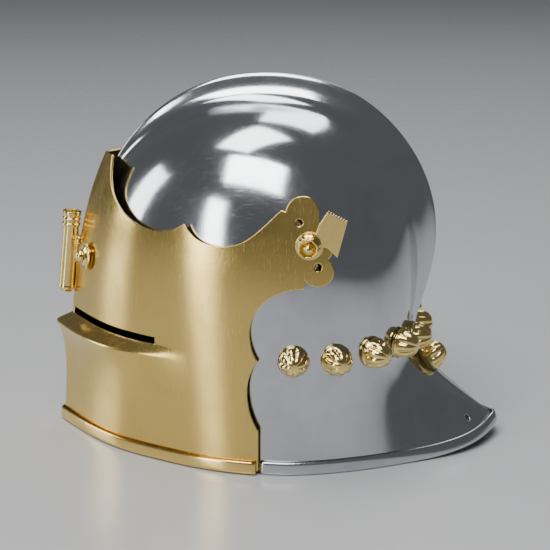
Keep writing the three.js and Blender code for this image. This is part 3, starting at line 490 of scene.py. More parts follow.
class Shader:
    """A material under construction: `add` makes a node and wires or sets its inputs."""

    def __init__(self, name):
        self.material = bpy.data.materials.new(name)
        self.material.use_nodes = True
        self.tree = self.material.node_tree
        self.surface = self.tree.nodes["Principled BSDF"]

    def wire(self, target, source):
        source = value(source)
        if isinstance(source, bpy.types.NodeSocket):
            self.tree.links.new(source, target)
        else:
            target.default_value = source

    def add(self, kind, *inputs, **settings):
        node = self.tree.nodes.new(kind)
        for name, setting in settings.items():
            setattr(node, name, setting)
        for name, source in (pair for given in inputs for pair in given.items()):
            self.wire(node.inputs[name], source)
        return node

    def set(self, **inputs):
        for name, source in inputs.items():
            self.wire(self.surface.inputs[name.replace("_", " ")], source)

    def math(self, operation, a, b=0.0):
        node = self.add("ShaderNodeMath", operation=operation)
        self.wire(node.inputs[0], a)
        self.wire(node.inputs[1], b)
        return node

    def spread(self, source, low, high, to_low, to_high):
        return self.add("ShaderNodeMapRange", {"Value": source, "From Min": low, "From Max": high,
                                               "To Min": to_low, "To Max": to_high})

    def mix(self, share, a, b, blend="MIX"):
        node = self.add("ShaderNodeMix", data_type="RGBA", blend_type=blend)
        self.wire(node.inputs["Factor"], share)
        self.wire(node.inputs[6], a)
        self.wire(node.inputs[7], b)
        return node.outputs[2]

    def place(self, on_sheet, scale=(1, 1, 1), turn=0.0):
        """The sheet's own coordinates, or the helmet's, stretched and turned."""
        source = self.add("ShaderNodeTexCoord").outputs["UV" if on_sheet else "Object"]
        return self.add("ShaderNodeMapping", {"Vector": source, "Scale": scale,
                                              "Rotation": (0, 0, turn)}).outputs[0]

    def noise(self, vector, scale, detail=3.0, roughness=0.55, distortion=0.0):
        return self.add("ShaderNodeTexNoise", {"Vector": vector, "Scale": scale, "Detail": detail,
                                               "Roughness": roughness, "Distortion": distortion}).outputs[0]

    def bump(self, height, distance, strength=1.0, under=None):
        node = self.add("ShaderNodeBump", {"Height": height, "Distance": distance, "Strength": strength})
        if under is not None:
            self.wire(node.inputs["Normal"], under)
        return node


def scratches(shader, on_sheet, turns, fine):
    """Hairline scratches in a few directions: thin streaks of stretched noise."""
    lines = None
    for index, turn in enumerate(turns):
        long_way = shader.place(on_sheet, (fine, fine * 0.02, fine), turn)
        streak = shader.noise(long_way, 1.0 + 0.13 * index, 2.0)
        sharp = shader.spread(streak, 0.62, 0.74, 0.0, 1.0)
        lines = sharp if lines is None else shader.math("MAXIMUM", lines, sharp)
    return lines


def polished(name, base, dull, roughness, on_sheet, brushing):
    """Hand-polished metal: slow unevenness of the sheet, brushing, hairlines, smears and tarnish."""
    shader = Shader(name)
    broad = shader.noise(shader.place(False), 9.0, 2.0)
    smear = shader.noise(shader.place(False), 34.0, 5.0, 0.62, 0.6)
    grain = shader.noise(shader.place(False), 420.0, 3.0)
    brush = shader.noise(shader.place(on_sheet, (90, 4200, 90), 0.0), 1.0, 3.0)
    hairs = scratches(shader, on_sheet, (0.35, 1.15, 2.3), 2600)
    tarnish = shader.spread(smear, 0.45, 0.85, 0.0, 0.55)
    shader.set(Base_Color=shader.mix(tarnish, (*base, 1), (*dull, 1)), Metallic=1.0)
    rough = shader.spread(smear, 0.3, 0.8, roughness * 0.75, roughness * 1.5)
    rough = shader.math("ADD", rough, shader.spread(brush, 0.35, 0.75, 0.0, brushing * 0.12))
    rough = shader.math("ADD", rough, shader.math("MULTIPLY", hairs, 0.12))
    shader.set(Roughness=rough)
    normal = shader.bump(broad, 0.0006, 0.5)
    normal = shader.bump(brush, 0.00002, brushing, normal)
    normal = shader.bump(hairs, 0.000025, -0.5, normal)
    normal = shader.bump(grain, 0.00001, 0.35, normal)
    shader.set(Normal=normal)
    return shader.material


def cast_brass(name, base, roughness):
    """Cast and turned brass, with painted shade that darkens it to near black in its grooves."""
    shader = Shader(name)
    fine = shader.noise(shader.place(False), 700.0, 4.0)
    broad = shader.noise(shader.place(False), 120.0, 4.0, 0.6)
    point = shader.add("ShaderNodeNewGeometry").outputs["Pointiness"]
    # Painted shade: concave places (low pointiness) are mixed towards a near-black brown.
    groove_shade = shader.spread(point, 0.34, 0.46, 1.0, 0.0)
    dark = shader.mix(shader.spread(broad, 0.35, 0.8, 0.0, 0.5), (*base, 1), (0.52, 0.36, 0.12, 1))
    shader.set(Base_Color=shader.mix(groove_shade, dark, (0.16, 0.09, 0.03, 1)), Metallic=1.0)
    shader.set(Roughness=shader.spread(broad, 0.3, 0.8, roughness * 0.7, roughness * 1.8))
    shader.set(Normal=shader.bump(fine, 0.00001, 0.4, shader.bump(broad, 0.00003, 0.3)))
    return shader.material


def dark_mottled_metal(name, base, rust):
    """Rough dark metal with a mottle of rust colour: the burrs' forge-scaled iron, and the near-black inner
    faces of the skull and the visor.
    """
    shader = Shader(name)
    scale = shader.noise(shader.place(False), 380.0, 6.0, 0.65)
    stain = shader.noise(shader.place(False), 40.0, 4.0, 0.6)
    share = shader.math("MULTIPLY", shader.spread(scale, 0.4, 0.7, 0, 1),
                        shader.spread(stain, 0.3, 0.6, 0.3, 1))
    shader.set(Base_Color=shader.mix(share, (*base, 1), (*rust, 1)), Metallic=0.85)
    shader.set(Roughness=shader.spread(scale, 0.3, 0.7, 0.45, 0.75),
               Normal=shader.bump(scale, 0.0002, 0.6))
    return shader.material


def thread():
    """Waxed linen thread, twisted fine."""
    shader = Shader("thread")
    twist = shader.add("ShaderNodeTexWave", {"Vector": shader.place(False), "Scale": 900.0,
                                             "Distortion": 1.0}, bands_direction="DIAGONAL").outputs["Fac"]
    dirt = shader.noise(shader.place(False), 160.0, 3.0)
    shader.set(Base_Color=shader.mix(shader.spread(dirt, 0.3, 0.7, 0, 1), (0.62, 0.52, 0.34, 1),
                                     (0.36, 0.27, 0.15, 1)), Roughness=0.7)
    shader.set(Normal=shader.bump(twist, 0.0002, 0.6))
    return shader.material


def leather(name, base):
    shader = Shader(name)
    pores = shader.add("ShaderNodeTexVoronoi", {"Vector": shader.place(False), "Scale": 1500.0})
    creases = shader.noise(shader.place(False), 240.0, 6.0, 0.65, 0.5)
    patches = shader.noise(shader.place(False), 45.0, 3.0)
    dark = tuple(c * 0.35 for c in base)
    shader.set(Base_Color=shader.mix(shader.spread(patches, 0.3, 0.75, 0, 1), (*base, 1), (*dark, 1)))
    shader.set(Roughness=shader.spread(creases, 0.3, 0.7, 0.42, 0.72))
    shader.set(Normal=shader.bump(creases, 0.0003, 0.5,
                                  shader.bump(pores.outputs["Distance"], 0.0001, 0.6)))
    return shader.material


def linen():
    """A plain weave of slubbed threads, crossing on the helmet's own axes."""
    shader = Shader("linen")
    threads = []
    for axis in ("X", "Y", "Z"):
        wave = shader.add("ShaderNodeTexWave", {"Vector": shader.place(False), "Scale": 260.0,
                                                "Distortion": 1.2, "Detail": 2.0, "Detail Scale": 3.0},
                          bands_direction=axis)
        threads.append(wave.outputs["Fac"])
    weave = shader.math("MAXIMUM", shader.math("MAXIMUM", threads[0], threads[1]), threads[2])
    slub = shader.noise(shader.place(False, (30, 400, 400)), 1.0, 4.0)
    stain = shader.noise(shader.place(False), 18.0, 4.0, 0.6)
    base = shader.mix(shader.spread(stain, 0.35, 0.8, 0, 0.6), (0.66, 0.58, 0.42, 1), (0.46, 0.37, 0.24, 1))
    shader.set(Base_Color=shader.mix(shader.spread(slub, 0.35, 0.75, 0, 0.35), base, (0.78, 0.72, 0.58, 1)))
    shader.set(Roughness=0.92, Sheen_Weight=0.25, Sheen_Roughness=0.5)
    shader.set(Normal=shader.bump(weave, 0.0004, 0.5, shader.bump(slub, 0.0003, 0.4)))
    return shader.material


STEEL = polished("polished_steel", (0.60, 0.62, 0.645), (0.44, 0.45, 0.47), 0.10, True, 0.35)
RIM_STEEL = polished("rim_steel", (0.60, 0.62, 0.645), (0.40, 0.41, 0.43), 0.13, False, 0.2)
BRASS = polished("polished_brass", (0.76, 0.55, 0.17), (0.56, 0.40, 0.10), 0.15, True, 0.8)
RIM_BRASS = polished("rim_brass", (0.84, 0.62, 0.22), (0.60, 0.42, 0.12), 0.14, False, 0.3)
CAST_BRASS = cast_brass("cast_brass", (0.88, 0.68, 0.27), 0.10)
IRON = dark_mottled_metal("black_iron", (0.05, 0.05, 0.055), (0.16, 0.12, 0.09))
# Near-black colours given to the inner faces of the skull and the visor.
DARK_STEEL = dark_mottled_metal("dark_steel", (0.035, 0.037, 0.042), (0.085, 0.07, 0.055))
DARK_BRASS = dark_mottled_metal("dark_brass", (0.05, 0.036, 0.02), (0.11, 0.075, 0.035))
LEATHER = leather("brown_leather", (0.20, 0.10, 0.045))
THREAD = thread()
LINEN = linen()


# ---- Skull --------------------------------------------------------------------------------------------
SKULL_LENGTHS = (300, 620)        # roughly how long v and u are over the sheet
VISOR_LENGTHS = (215, 225)


def skull_shell():
    us = np.linspace(0, 1, 180)
    even = np.linspace(-1, 1, 400)
    middle = skull.point(np.full(400, 0.4), even)
    run = np.concatenate([[0], np.cumsum(np.linalg.norm(np.diff(middle, axis=0), axis=1))])
    run = 2 * run / run[-1] - 1
    vs = np.interp(np.linspace(-1, 1, 171), 0.75 * run + 0.25 * even, even)
    outline = np.array([*[[v, 0] for v in vs], *[[1, u] for u in us[1:]],
                        *[[v, 1] for v in vs[-2::-1]], *[[-1, u] for u in us[-2:0:-1]]])
    holes = []
    for side in (1, -1):
        target = [side * CORD_HOLE[0], *CORD_HOLE[1:]]
        point, normal = skull.seat(target)
        first = unit(np.cross(normal, (0, 1, 0)))
        second = np.cross(normal, first)
        ring = point + circle((0, 0), CORD_HOLE_R + 0.8, 24) @ np.stack([first, second])
        u, v = skull.nearest(ring)
        holes.append(np.stack([v, u], axis=1))
    net, triangles = trimmed_net(outline, holes, vs, us, SKULL_LENGTHS, 0.9)
    mesh = sheet_mesh("skull_shell", skull, net, triangles, SKULL_SHEET, SKULL_LENGTHS)
    add_piece("skull_shell", mesh, "helmet", STEEL, "polished_steel", "skull",
              inside=DARK_STEEL)


# ---- Visor --------------------------------------------------------------------------------------------
def on_visor(side_points):
    """The sheet's (v, u) at points [y, z] of the helmet's side view."""
    side_points = np.array(side_points, float)
    table = np.linspace(0, 1, 600)
    heights = visor.point(table, np.zeros(600))[:, 2]
    u = np.interp(side_points[:, 1], heights, table)
    return np.stack([visor.find_v(u, side_points[:, 0], 1), u], axis=1)


VISOR_TOP_Z = 213
VISOR_EDGE = path(
    (-121, VISOR_TOP_Z), [(-120.5, 203), (-121, 193), (-113, 185)], [(-107, 178.5), (-97, 171), (-79, 170.2)],
    [(-63, 171), (-55, 177.5)], [(-49, 164), (-29, 160.5), (-13, 167.5)], [(-2, 173), (6, 183), (15, 191)],
    [(18.5, 190)], [(20, 204), (40, 206), (40.5, 190)], [(41, 180)], [(52, 177), (52, 160), (47, 159)],
    [(55, 153), (52, 141), (42, 140)], [(36, 139.5), (32, 143), (31.5, 146)], [(31.5, 138)],
    [(10, 137), (-7, 124), (-7.5, 104)], [(-7, 92), (-1.5, 84)], [(-12, 72), (-12, 50), (-1.3, 33)],
    [(-1.3, EDGE_HEIGHT + VISOR_LIFT)])


def visor_shell():
    side = on_visor(VISOR_EDGE)
    front = [[v, side[0, 1]] for v in np.linspace(0, side[0, 0], 24)[:-1]]
    foot = [[v, 0] for v in np.linspace(side[-1, 0], 0, 120)[1:]]
    left = np.array([*front, *side, *foot])
    right = left[-2:0:-1] * (-1, 1)
    outline = np.concatenate([left, right])
    slit = []
    for z, forth in ((SLIT_LOW_Z, 1), (SLIT_HIGH_Z, -1)):
        u = on_visor([[-100, z]])[0, 1]
        ends = (visor.find_v(np.array([u]), SLIT_BRIDGE_X, 0)[0],
                visor.find_v(np.array([u]), SLIT_END_Y, 1)[0])
        slit += [[v, u] for v in np.linspace(*ends, 90)[::forth]]
    holes = [np.array(slit)]
    for y, z, radius in LOBE_HOLES:
        holes.append(on_visor(circle((y, z), radius + 0.6, 26)))
    holes += [hole * (-1, 1) for hole in holes]
    us, vs = np.linspace(0, 1, 130), np.linspace(-1, 1, 231)
    net, triangles = trimmed_net(outline, holes, vs, us, VISOR_LENGTHS, 1.0)
    mesh = sheet_mesh("visor_shell", visor, net, triangles, VISOR_SHEET, VISOR_LENGTHS)
    add_piece("visor_shell", mesh, "visor", BRASS, "polished_brass", "visor",
              inside=DARK_BRASS)


# ---- Rolled rims --------------------------------------------------------------------------------------
# Reach is a share of the rim's thickness; height is a share of the room under the sheet's edge, or
# of the rim's height above it.
RIM_UNDER = [(0, 1), (-0.7, 1), (-0.9, 0.55), (-0.75, 0), (0.5, 0), (0.95, 0.55)]
RIM_BAND = [(1, 0.5), (0.92, 0.87), (0.6, 1), (0, 1)]


def soft_section(corners, rounds=3):
    """A closed section with its corners cut until it is smooth."""
    for _ in range(rounds):
        after = np.roll(corners, -1, axis=0)
        corners = np.stack([corners * 0.75 + after * 0.25, corners * 0.25 + after * 0.75],
                           axis=1).reshape(-1, 3)
    return corners


def rim_sections(surface, edges, thickness):
    along = np.empty_like(edges)
    along[1:-1], along[0], along[-1] = edges[2:] - edges[:-2], edges[1] - edges[0], edges[-1] - edges[-2]
    along = unit(along * (1, 1, 0))
    outward = unit(np.cross(along, (0, 0, 1)))
    lean = surface.normal(*surface.nearest(edges))
    foot = edges[:, 2] - EDGE_HEIGHT
    room = EDGE_HEIGHT - GAP - thickness * np.maximum(0, lean[:, 2]) * 1.1
    corners = []
    for reach, share in RIM_UNDER:
        stand = GAP + reach * RIM_PROUD if reach >= 0 else reach * (thickness + 1)
        point = edges + outward * stand
        point[:, 2] = foot + share * room
        corners.append(point)
    for reach, share in RIM_BAND:
        climb = share * RIM_HEIGHT - EDGE_HEIGHT
        u, v = surface.nearest(edges + (0, 0, climb))
        stand = RIM_STAND + reach * (RIM_PROUD - RIM_STAND + GAP)
        corners.append(surface.point(u, v) + surface.normal(u, v) * stand)
    corners.append(edges + lean * 2 * GAP)
    return [soft_section(section) for section in np.stack(corners, axis=1)]


def make_rims():
    u = np.linspace(0, 1, 260)
    edge = skull.point(u, np.ones(260))
    start = skull.point(*skull.nearest([[107, 0.3, EDGE_HEIGHT]]))
    side = np.concatenate([start, edge[edge[:, 1] > 3]])
    around = np.concatenate([side, skull.point(np.ones(1), np.zeros(1)), side[::-1] * (-1, 1, 1)])
    points, faces = swept(rim_sections(skull, around, SKULL_SHEET))
    add_piece("skull_rolled_rim", make_mesh("skull_rolled_rim", points, faces), "helmet", RIM_STEEL,
              "polished_steel", "skull_rim")
    v = np.linspace(-1, 1, 300)
    edge = visor.point(np.zeros(300), v)
    end = visor.point(*visor.nearest([[109, -2.2, EDGE_HEIGHT + VISOR_LIFT]]))
    front = np.concatenate([end * (-1, 1, 1), edge[edge[:, 1] < -4], end])
    points, faces = swept(rim_sections(visor, front, VISOR_SHEET))
    add_piece("visor_rolled_rim", make_mesh("visor_rolled_rim", points, faces), "visor", RIM_BRASS,
              "polished_brass", "visor_rim")


# ---- Rivets -------------------------------------------------------------------------------------------
LOBES = 8


def melon(radius, height, angles):
    """Rounded lobes with sharp grooves between them, fading out at the top and the flange."""
    lobe = np.abs(np.sin(angles * LOBES / 2)) ** 0.7
    share = smoothstep(np.array([height]), 0.02, 0.22)[0]
    return radius * (1 - 0.19 * share * (1 - lobe))


def fluted_rivet(depth, seat):
    tail = -(depth + BURR_THICK + GAP)
    foot = eased([[0, tail - 1.5], [3, tail - 0.2], [RIVET_SHANK_R, tail], [RIVET_SHANK_R, seat],
                  [RIVET_HEAD_R - 0.2, seat], [RIVET_HEAD_R, seat + 0.7], [RIVET_HEAD_R * 0.93, seat + 1.5]],
                 0.4)
    dome = []
    for angle in np.linspace(0.05, math.pi / 2, 20):
        dome.append([RIVET_HEAD_R * 0.93 * math.cos(angle) ** 0.8,
                     seat + 1.5 + (RIVET_HEAD_H - 1.5) * math.sin(angle)])
    dome[-1][0] = 0
    low, high = seat + 1.5, seat + RIVET_HEAD_H

    def shape(r, h, angles):
        share = (h - low) / (high - low)
        return melon(r, share, angles) if share > 0 else np.full(len(angles), float(r))
    return turned([*foot, *dome], 108, shape)


def burr_depth(name):
    if name == "nape":
        return SKULL_SHEET + 1.5
    return STRAP_DEPTH + STRAP_THICK + 3 * GAP if name.startswith("front") else BURR_TOP


def ring(inner, outer, low, high, ease=0.3):
    return eased([[inner, low], [outer, low], [outer, high], [inner, high]], ease, closed=True)


def lining_rivets():
    places = {"nape": NAPE_PLACE}
    for name, (spot, stand) in RIVET_PLACES.items():
        places[f"{name}_left"] = (spot, stand)
        places[f"{name}_right"] = ([-spot[0], *spot[1:]], stand)
    for name, (spot, stand) in places.items():
        point, normal = skull.seat(spot)
        depth = burr_depth(name)
        upright, faces = fluted_rivet(depth, stand)
        head = seated((upright, faces), point, normal)
        reach = np.hypot(upright[:, 0], upright[:, 1])
        flange = (reach > RIVET_HEAD_R / 2) & (upright[:, 2] < stand + 0.2)
        under = skull.nearest(head[0][flange])
        head[0][flange] = skull.point(*under) + skull.normal(*under) * GAP
        add_piece(f"fluted_rivet_{name}", make_mesh("fluted_rivet", *head), "helmet", CAST_BRASS,
                  "cast_brass", f"lining_rivet_{name}")
        burr = seated(turned(ring(RIVET_SHANK_R + GAP, BURR_R, -depth - BURR_THICK, -depth)), point, normal)
        add_piece(f"burr_{name}", make_mesh("burr", *burr), "helmet", IRON, "dark_iron",
                  f"lining_burr_{name}")


# ---- Pivots -------------------------------------------------------------------------------------------
PIVOT_SHANK_R = 3.5
WASHER_R, WASHER_THICK, HEAD_R = 9.6, 1.4, 8.6


def flag_outline():
    """The washer's disc with its tab, which has a row of small teeth along its upper edge."""
    low, high, teeth = np.array([12, 24]), np.array([26, 17]), 8
    row = []
    for tooth in range(teeth):
        for share, rise in ((0.12, 0), (0.32, 1.5), (0.68, 1.5), (0.88, 0)):
            row.append(low + (high - low) * (tooth + share) / teeth + rise * np.array([0.45, 0.89]))
    corner, root, top = np.array([19.5, -7.5]), np.array([4, 7]), np.array([6.5, 15])

    def crossing(a, b):
        shares = np.linspace(0, 1, 400)[:, None]
        line = a + (b - a) * shares
        return line[np.argmin(abs(np.linalg.norm(line, axis=1) - WASHER_R))]
    leave, join = crossing(top, root), crossing(corner, (root + corner) / 2)
    first, last = math.atan2(leave[1], leave[0]), math.atan2(join[1], join[0]) + 2 * math.pi
    arc = [WASHER_R * np.array([math.cos(a), math.sin(a)]) for a in np.linspace(first, last, 60)]
    loop = [*arc, *path(join, [corner], [row[-1]], step=1)[1:], *row[::-1][1:],
            *path(row[0], [top], [leave], step=1)[1:-1]]
    return inset(np.array(loop), WASHER_THICK * 0.3)


def pivots():
    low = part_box("pivot_washer_left")[0].x / MM
    high = low + WASHER_THICK
    head = high + GAP
    outline = flag_outline()
    bore = circle((0, 0), PIVOT_SHANK_R + GAP + 0.5, 30)
    grid_y, grid_z = np.arange(-10, 30, 1.5), np.arange(-10, 27, 1.5)
    net, triangles = trimmed_net(outline, [bore], grid_y, grid_z, (1, 1), 0.9)
    disc = Flat((high, PIVOT_Y, PIVOT_Z), (0, 1, 0), (0, 0, 1))
    spacer_low, spacer_high = (corner.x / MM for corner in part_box("pivot_spacer_left"))
    burr_low, burr_high = (corner.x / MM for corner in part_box("pivot_burr_left"))
    bell = eased([
        [0, burr_low - 2.2], [4, burr_low - 1.6], [4.8, burr_low - GAP], [PIVOT_SHANK_R, burr_low - GAP],
        [PIVOT_SHANK_R, head], [HEAD_R, head], [HEAD_R, head + 1.4], [HEAD_R * 0.86, head + 2.2],
        [HEAD_R * 0.8, head + 5.5], [HEAD_R * 0.87, head + 8.2], [HEAD_R * 0.84, head + 9.2],
        [HEAD_R * 0.68, head + 9.2], [HEAD_R * 0.52, head + 7.2], [2.9, head + 6.6]], 0.5)
    ball = [[3.1 * math.cos(a), head + 8.9 + 3.1 * math.sin(a)] for a in np.linspace(-0.75, math.pi / 2, 12)]
    ball[-1][0] = 0

    def petals(r, h, angles):
        if r < HEAD_R * 0.6 or h < head:
            return np.full(len(angles), float(r))
        depth = 0.10 if h > head + 1.8 else 0.05
        return r * (1 - depth * (1 - np.abs(np.sin(angles * 4)) ** 0.6))
    for side, sign in (("left", 1), ("right", -1)):
        axis = (sign, 0, 0)
        mesh = sheet_mesh("flag_washer", disc, net, triangles, WASHER_THICK, (1, 1), mirror=sign < 0)
        add_piece(f"flag_washer_{side}", mesh, "visor", RIM_BRASS, "polished_brass", f"pivot_washer_{side}")
        centre = (0, PIVOT_Y, PIVOT_Z)
        head_mesh = make_mesh("bell_rivet", *seated(turned([*bell, *ball], 96, petals), centre, axis))
        add_piece(f"bell_rivet_{side}", head_mesh, "helmet", CAST_BRASS, "cast_brass", f"pivot_rivet_{side}")
        spacer = turned(ring(PIVOT_SHANK_R + GAP, 6.5, spacer_low, spacer_high))
        add_piece(f"spacer_{side}", make_mesh("spacer", *seated(spacer, centre, axis)), "helmet", CAST_BRASS,
                  "cast_brass", f"pivot_spacer_{side}")
        burr = turned(ring(PIVOT_SHANK_R + GAP, 6.4, burr_low, burr_high))
        add_piece(f"pivot_burr_ring_{side}", make_mesh("pivot_burr", *seated(burr, centre, axis)), "helmet",
                  IRON, "dark_iron", f"pivot_burr_{side}")


# ---- Plume tube ---------------------------------------------------------------------------------------
def plume_holder():
    foot, top = np.array(TUBE_FOOT, float), np.array(TUBE_TOP, float)
    length = np.linalg.norm(top - foot)
    axis = (top - foot) / length
    wide = TUBE_R + 0.9
    profile = eased([
        [0, 0], [TUBE_R - 2.2, 0], [TUBE_R - 1.2, 1.2], [TUBE_R + 0.3, 3.4], [TUBE_R + 0.3, 4.6],
        [TUBE_R, 5.2], [TUBE_R, length - 11.5], [TUBE_R + 0.8, length - 11], [TUBE_R + 0.8, length - 9.4],
        [TUBE_R + 0.1, length - 8.9], [TUBE_R + 0.1, length - 7.2], [TUBE_R + 0.8, length - 6.8],
        [TUBE_R + 0.8, length - 5.4], [TUBE_R + 0.1, length - 4.9], [TUBE_R + 0.1, length - 3.6],
        [wide, length - 3], [wide, length], [TUBE_R - TUBE_WALL, length], [TUBE_R - TUBE_WALL, TUBE_FLOOR],
        [0, TUBE_FLOOR]], 0.35)
    add_piece("plume_holder", make_mesh("plume_holder", *seated(turned(profile, 72), foot, axis)), "visor",
              CAST_BRASS, "cast_brass", "plume_tube")

    raised = Raised(visor, GAP + SADDLE_THICK)
    end, low = ROSETTE_X + 4.6, SADDLE_Z - 5.6
    outline = path((-end, SADDLE_Z - 2), [(-end, low), (3 - end, low)],
                   [(-14, low), (-11, low + 1.6)], [(0, low - 1.4), (11, low + 1.6)],
                   [(14, low), (end - 3, low)], [(end, low), (end, SADDLE_Z - 2)])
    outline = np.concatenate([outline, (outline * (-1, -1) + (0, 2 * SADDLE_Z))])
    table = np.linspace(0, 1, 600)
    heights = visor.point(table, np.zeros(600))[:, 2]
    u = np.interp(outline[:, 1], heights, table)
    v = visor.find_v(u, abs(outline[:, 0]), 0) * np.sign(outline[:, 0])
    loop = np.stack([v, u], axis=1)
    keep = np.linalg.norm((np.roll(loop, -1, axis=0) - loop) * VISOR_LENGTHS, axis=1) > 0.2
    vs, us = np.linspace(v.min(), v.max(), 40), np.linspace(u.min(), u.max(), 16)
    net, triangles = trimmed_net(loop[keep], [], vs, us, VISOR_LENGTHS, 0.6)
    points, faces = cradle()
    ears = sheet_mesh("plume_saddle", raised, net, triangles, SADDLE_THICK, VISOR_LENGTHS)
    add_piece("plume_saddle", ears, "visor", RIM_BRASS, "polished_brass", "plume_bracket")
    add_piece("plume_cradle", make_mesh("plume_cradle", points, faces), "visor", CAST_BRASS, "cast_brass",
              "plume_bracket")
    for side, sign in (("left", 1), ("right", -1)):
        point, normal = visor.seat([sign * ROSETTE_X, -142, SADDLE_Z])
        seat = 2 * GAP + SADDLE_THICK
        hole = SADDLE_SHANK_R + GAP
        wide = ROSETTE_R
        dish = eased([[hole, seat], [wide - 0.5, seat], [wide, seat + 0.5], [wide - 0.9, seat + 1.3],
                      [wide - 3.4, seat + 1.0], [5.4, seat + 2.2], [hole, seat + 2.2]], 0.3, closed=True)

        def petals(r, h, angles):
            fade = smoothstep(np.array([r]), 5.6, 9.0)[0]
            return r * (1 - 0.12 * fade * (1 - np.abs(np.sin(angles * 4)) ** 0.7))
        rosette = seated(turned(dish, 96, petals), point, normal)
        add_piece(f"rosette_{side}", make_mesh("rosette", *rosette), "visor", CAST_BRASS, "cast_brass",
                  f"plume_rosette_{side}")
        back, top_seat = -(VISOR_SHEET + GAP), seat + 2.2 + GAP
        stem = eased([[0, back - 1.4], [2.2, back - 1], [2.6, back], [SADDLE_SHANK_R, back],
                      [SADDLE_SHANK_R, top_seat], [4.3, top_seat]], 0.3)
        ball = [[4.5 * math.cos(a), top_seat + 0.9 + 4.0 * math.sin(a)]
                for a in np.linspace(-0.15, math.pi / 2, 14)]
        ball[-1][0] = 0
        stud = seated(turned([*stem, *ball], 48), point, normal)
        add_piece(f"plume_stud_{side}", make_mesh("plume_stud", *stud), "visor", CAST_BRASS, "cast_brass",
                  f"plume_rivet_{side}")


def cradle():
    """The block that joins the saddle to the back of the tube."""
    sections = []
    foot, top = np.array(TUBE_FOOT, float), np.array(TUBE_TOP, float)
    for z in np.linspace(SADDLE_Z - 10.5, SADDLE_Z + 10.5, 17):
        share = (z - foot[2]) / (top[2] - foot[2])
        tube_y = foot[1] + (top[1] - foot[1]) * share
        u = np.interp(z, [p[2] for p in visor.point(np.linspace(0, 1, 200), np.zeros(200))],
                      np.linspace(0, 1, 200))
        keel_y = visor.point(np.array([u]), np.zeros(1))[0, 1]
        half = 4.4 * math.sqrt(max(0.12, 1 - ((z - SADDLE_Z) / 11.5) ** 4))
        near = tube_y + math.sqrt(max(0, (TUBE_R + GAP) ** 2 - half ** 2))
        far = keel_y - GAP - 0.3
        outline = [[-half, near, z], [half, near, z], [half, far + 0.35 * half, z], [0, far, z],
                   [-half, far + 0.35 * half, z]]
        sections.append(soft_section(np.array(outline, float), 2))
    return swept(sections)


# ---- Lining -------------------------------------------------------------------------------------------
def outward(points, faces):
    """A closed solid's points and faces, turned so that the faces point out."""
    volume = 0
    for face in faces:
        a = points[face[0]]
        for i, j in zip(face[1:], face[2:]):
            volume += np.dot(a, np.cross(points[i], points[j]))
    return points, faces if volume > 0 else [list(face)[::-1] for face in faces]


def stitches(places, directions, normals, length=2.6, thick=0.75):
    """Short plump stitches lying along their directions, half sunk in what they hold."""
    points, faces = [], []
    turns = np.linspace(0, 2 * math.pi, 7)[:-1]
    for place, along, normal in zip(places, directions, normals):
        side = np.cross(normal, along)
        first = len(points)
        for share, size in ((-1, 0.35), (-0.6, 1), (0.6, 1), (1, 0.35)):
            centre = place + along * length * share / 2 + normal * (0.25 if abs(share) < 1 else -0.2)
            for turn in turns:
                points.append(centre + thick * size / 2 * (math.cos(turn) * side + math.sin(turn) * normal))
        for band in range(3):
            for i in range(6):
                a, b = first + band * 6 + i, first + band * 6 + (i + 1) % 6
                faces.append([a, b, b + 6, a + 6])
        faces.append([first + i for i in range(6)][::-1])
        faces.append([first + 18 + i for i in range(6)])
    return np.array(points), faces


def skull_at(turns, z):
    """The skull's places at turns about the band's upright axis and one height."""
    reach = np.full(len(turns), 120.0)
    for _ in range(6):
        targets = np.stack([reach * np.sin(turns), BAND_CENTRE_Y + reach * np.cos(turns),
                            np.full(len(turns), float(z))], axis=1)
        points = skull.point(*skull.nearest(targets))
        reach = np.hypot(points[:, 0], points[:, 1] - BAND_CENTRE_Y)
    return points


def band_point(turns, z, depth):
    return skull_at(turns, z) - depth * np.stack([np.sin(turns), np.cos(turns), 0 * turns], axis=1)


def lining_band():
    turns = np.linspace(-BAND_TURN, BAND_TURN, 130)
    outer, inner = SKULL_SHEET + BAND_STAND + 0.1, SKULL_SHEET + BAND_STAND + BAND_THICK - 0.1
    heights = np.linspace(BAND_HIGH_Z - 0.2, BAND_LOW_Z + 0.2, 6)
    rows = [band_point(turns, z, outer) for z in heights]
    rows += [band_point(turns, z, inner) for z in heights[::-1]]
    sections = [soft_section(section, 2) for section in np.stack(rows, axis=1)]
    add_piece("lining_band_leather", make_mesh("lining_band_leather", *outward(*swept(sections))), "helmet",
              LEATHER, "brown_leather", "lining_band")
    seams = []
    for z in (BAND_HIGH_Z - 3, BAND_LOW_Z + 3):
        line = band_point(np.linspace(-BAND_TURN + 0.04, BAND_TURN - 0.04, 104), z, inner)
        along = unit(np.gradient(line, axis=0))
        facing = unit(np.stack([-line[:, 0], BAND_CENTRE_Y - line[:, 1], 0 * line[:, 0]], axis=1))
        seams.append((line, along, unit(facing - along * (facing * along).sum(1, keepdims=True))))
    sewn = stitches(*(np.concatenate(group) for group in zip(*seams)))
    add_piece("lining_band_stitching", make_mesh("lining_band_stitching", *sewn), "helmet", THREAD, "linen",
              "lining_band")


SEAM_COUNT = 10                   # quilting channels across the cap, from ear to ear
SEAM_DEPTH, SEAM_SPREAD = 2.4, 0.22
HELD_SHARE = 0.16                 # the part of a channel beside its seam that Cloth holds still
PUFF_LIMIT = 1.8
LINER_VOXEL, LINER_LOW_Z = 4.2, 84.2


def seam_share(points):
    """How far each place is from a seam: 0 on the seam to 1 in a channel's middle."""
    sideways = np.arctan2(points[:, 0] / LINER_SIZE[0], (points[:, 2] - 60) / (LINER_SIZE[2] + 60))
    channel = (sideways / math.pi + 0.5) * 2 * SEAM_COUNT
    return np.abs((channel - 0.5) % 1 - 0.5) * 2


def evaluated(obj):
    """The object's mesh with its modifiers applied and cleared away."""
    mesh = bpy.data.meshes.new_from_object(obj.evaluated_get(bpy.context.evaluated_depsgraph_get()))
    obj.modifiers.clear()
    obj.data = mesh
    return mesh


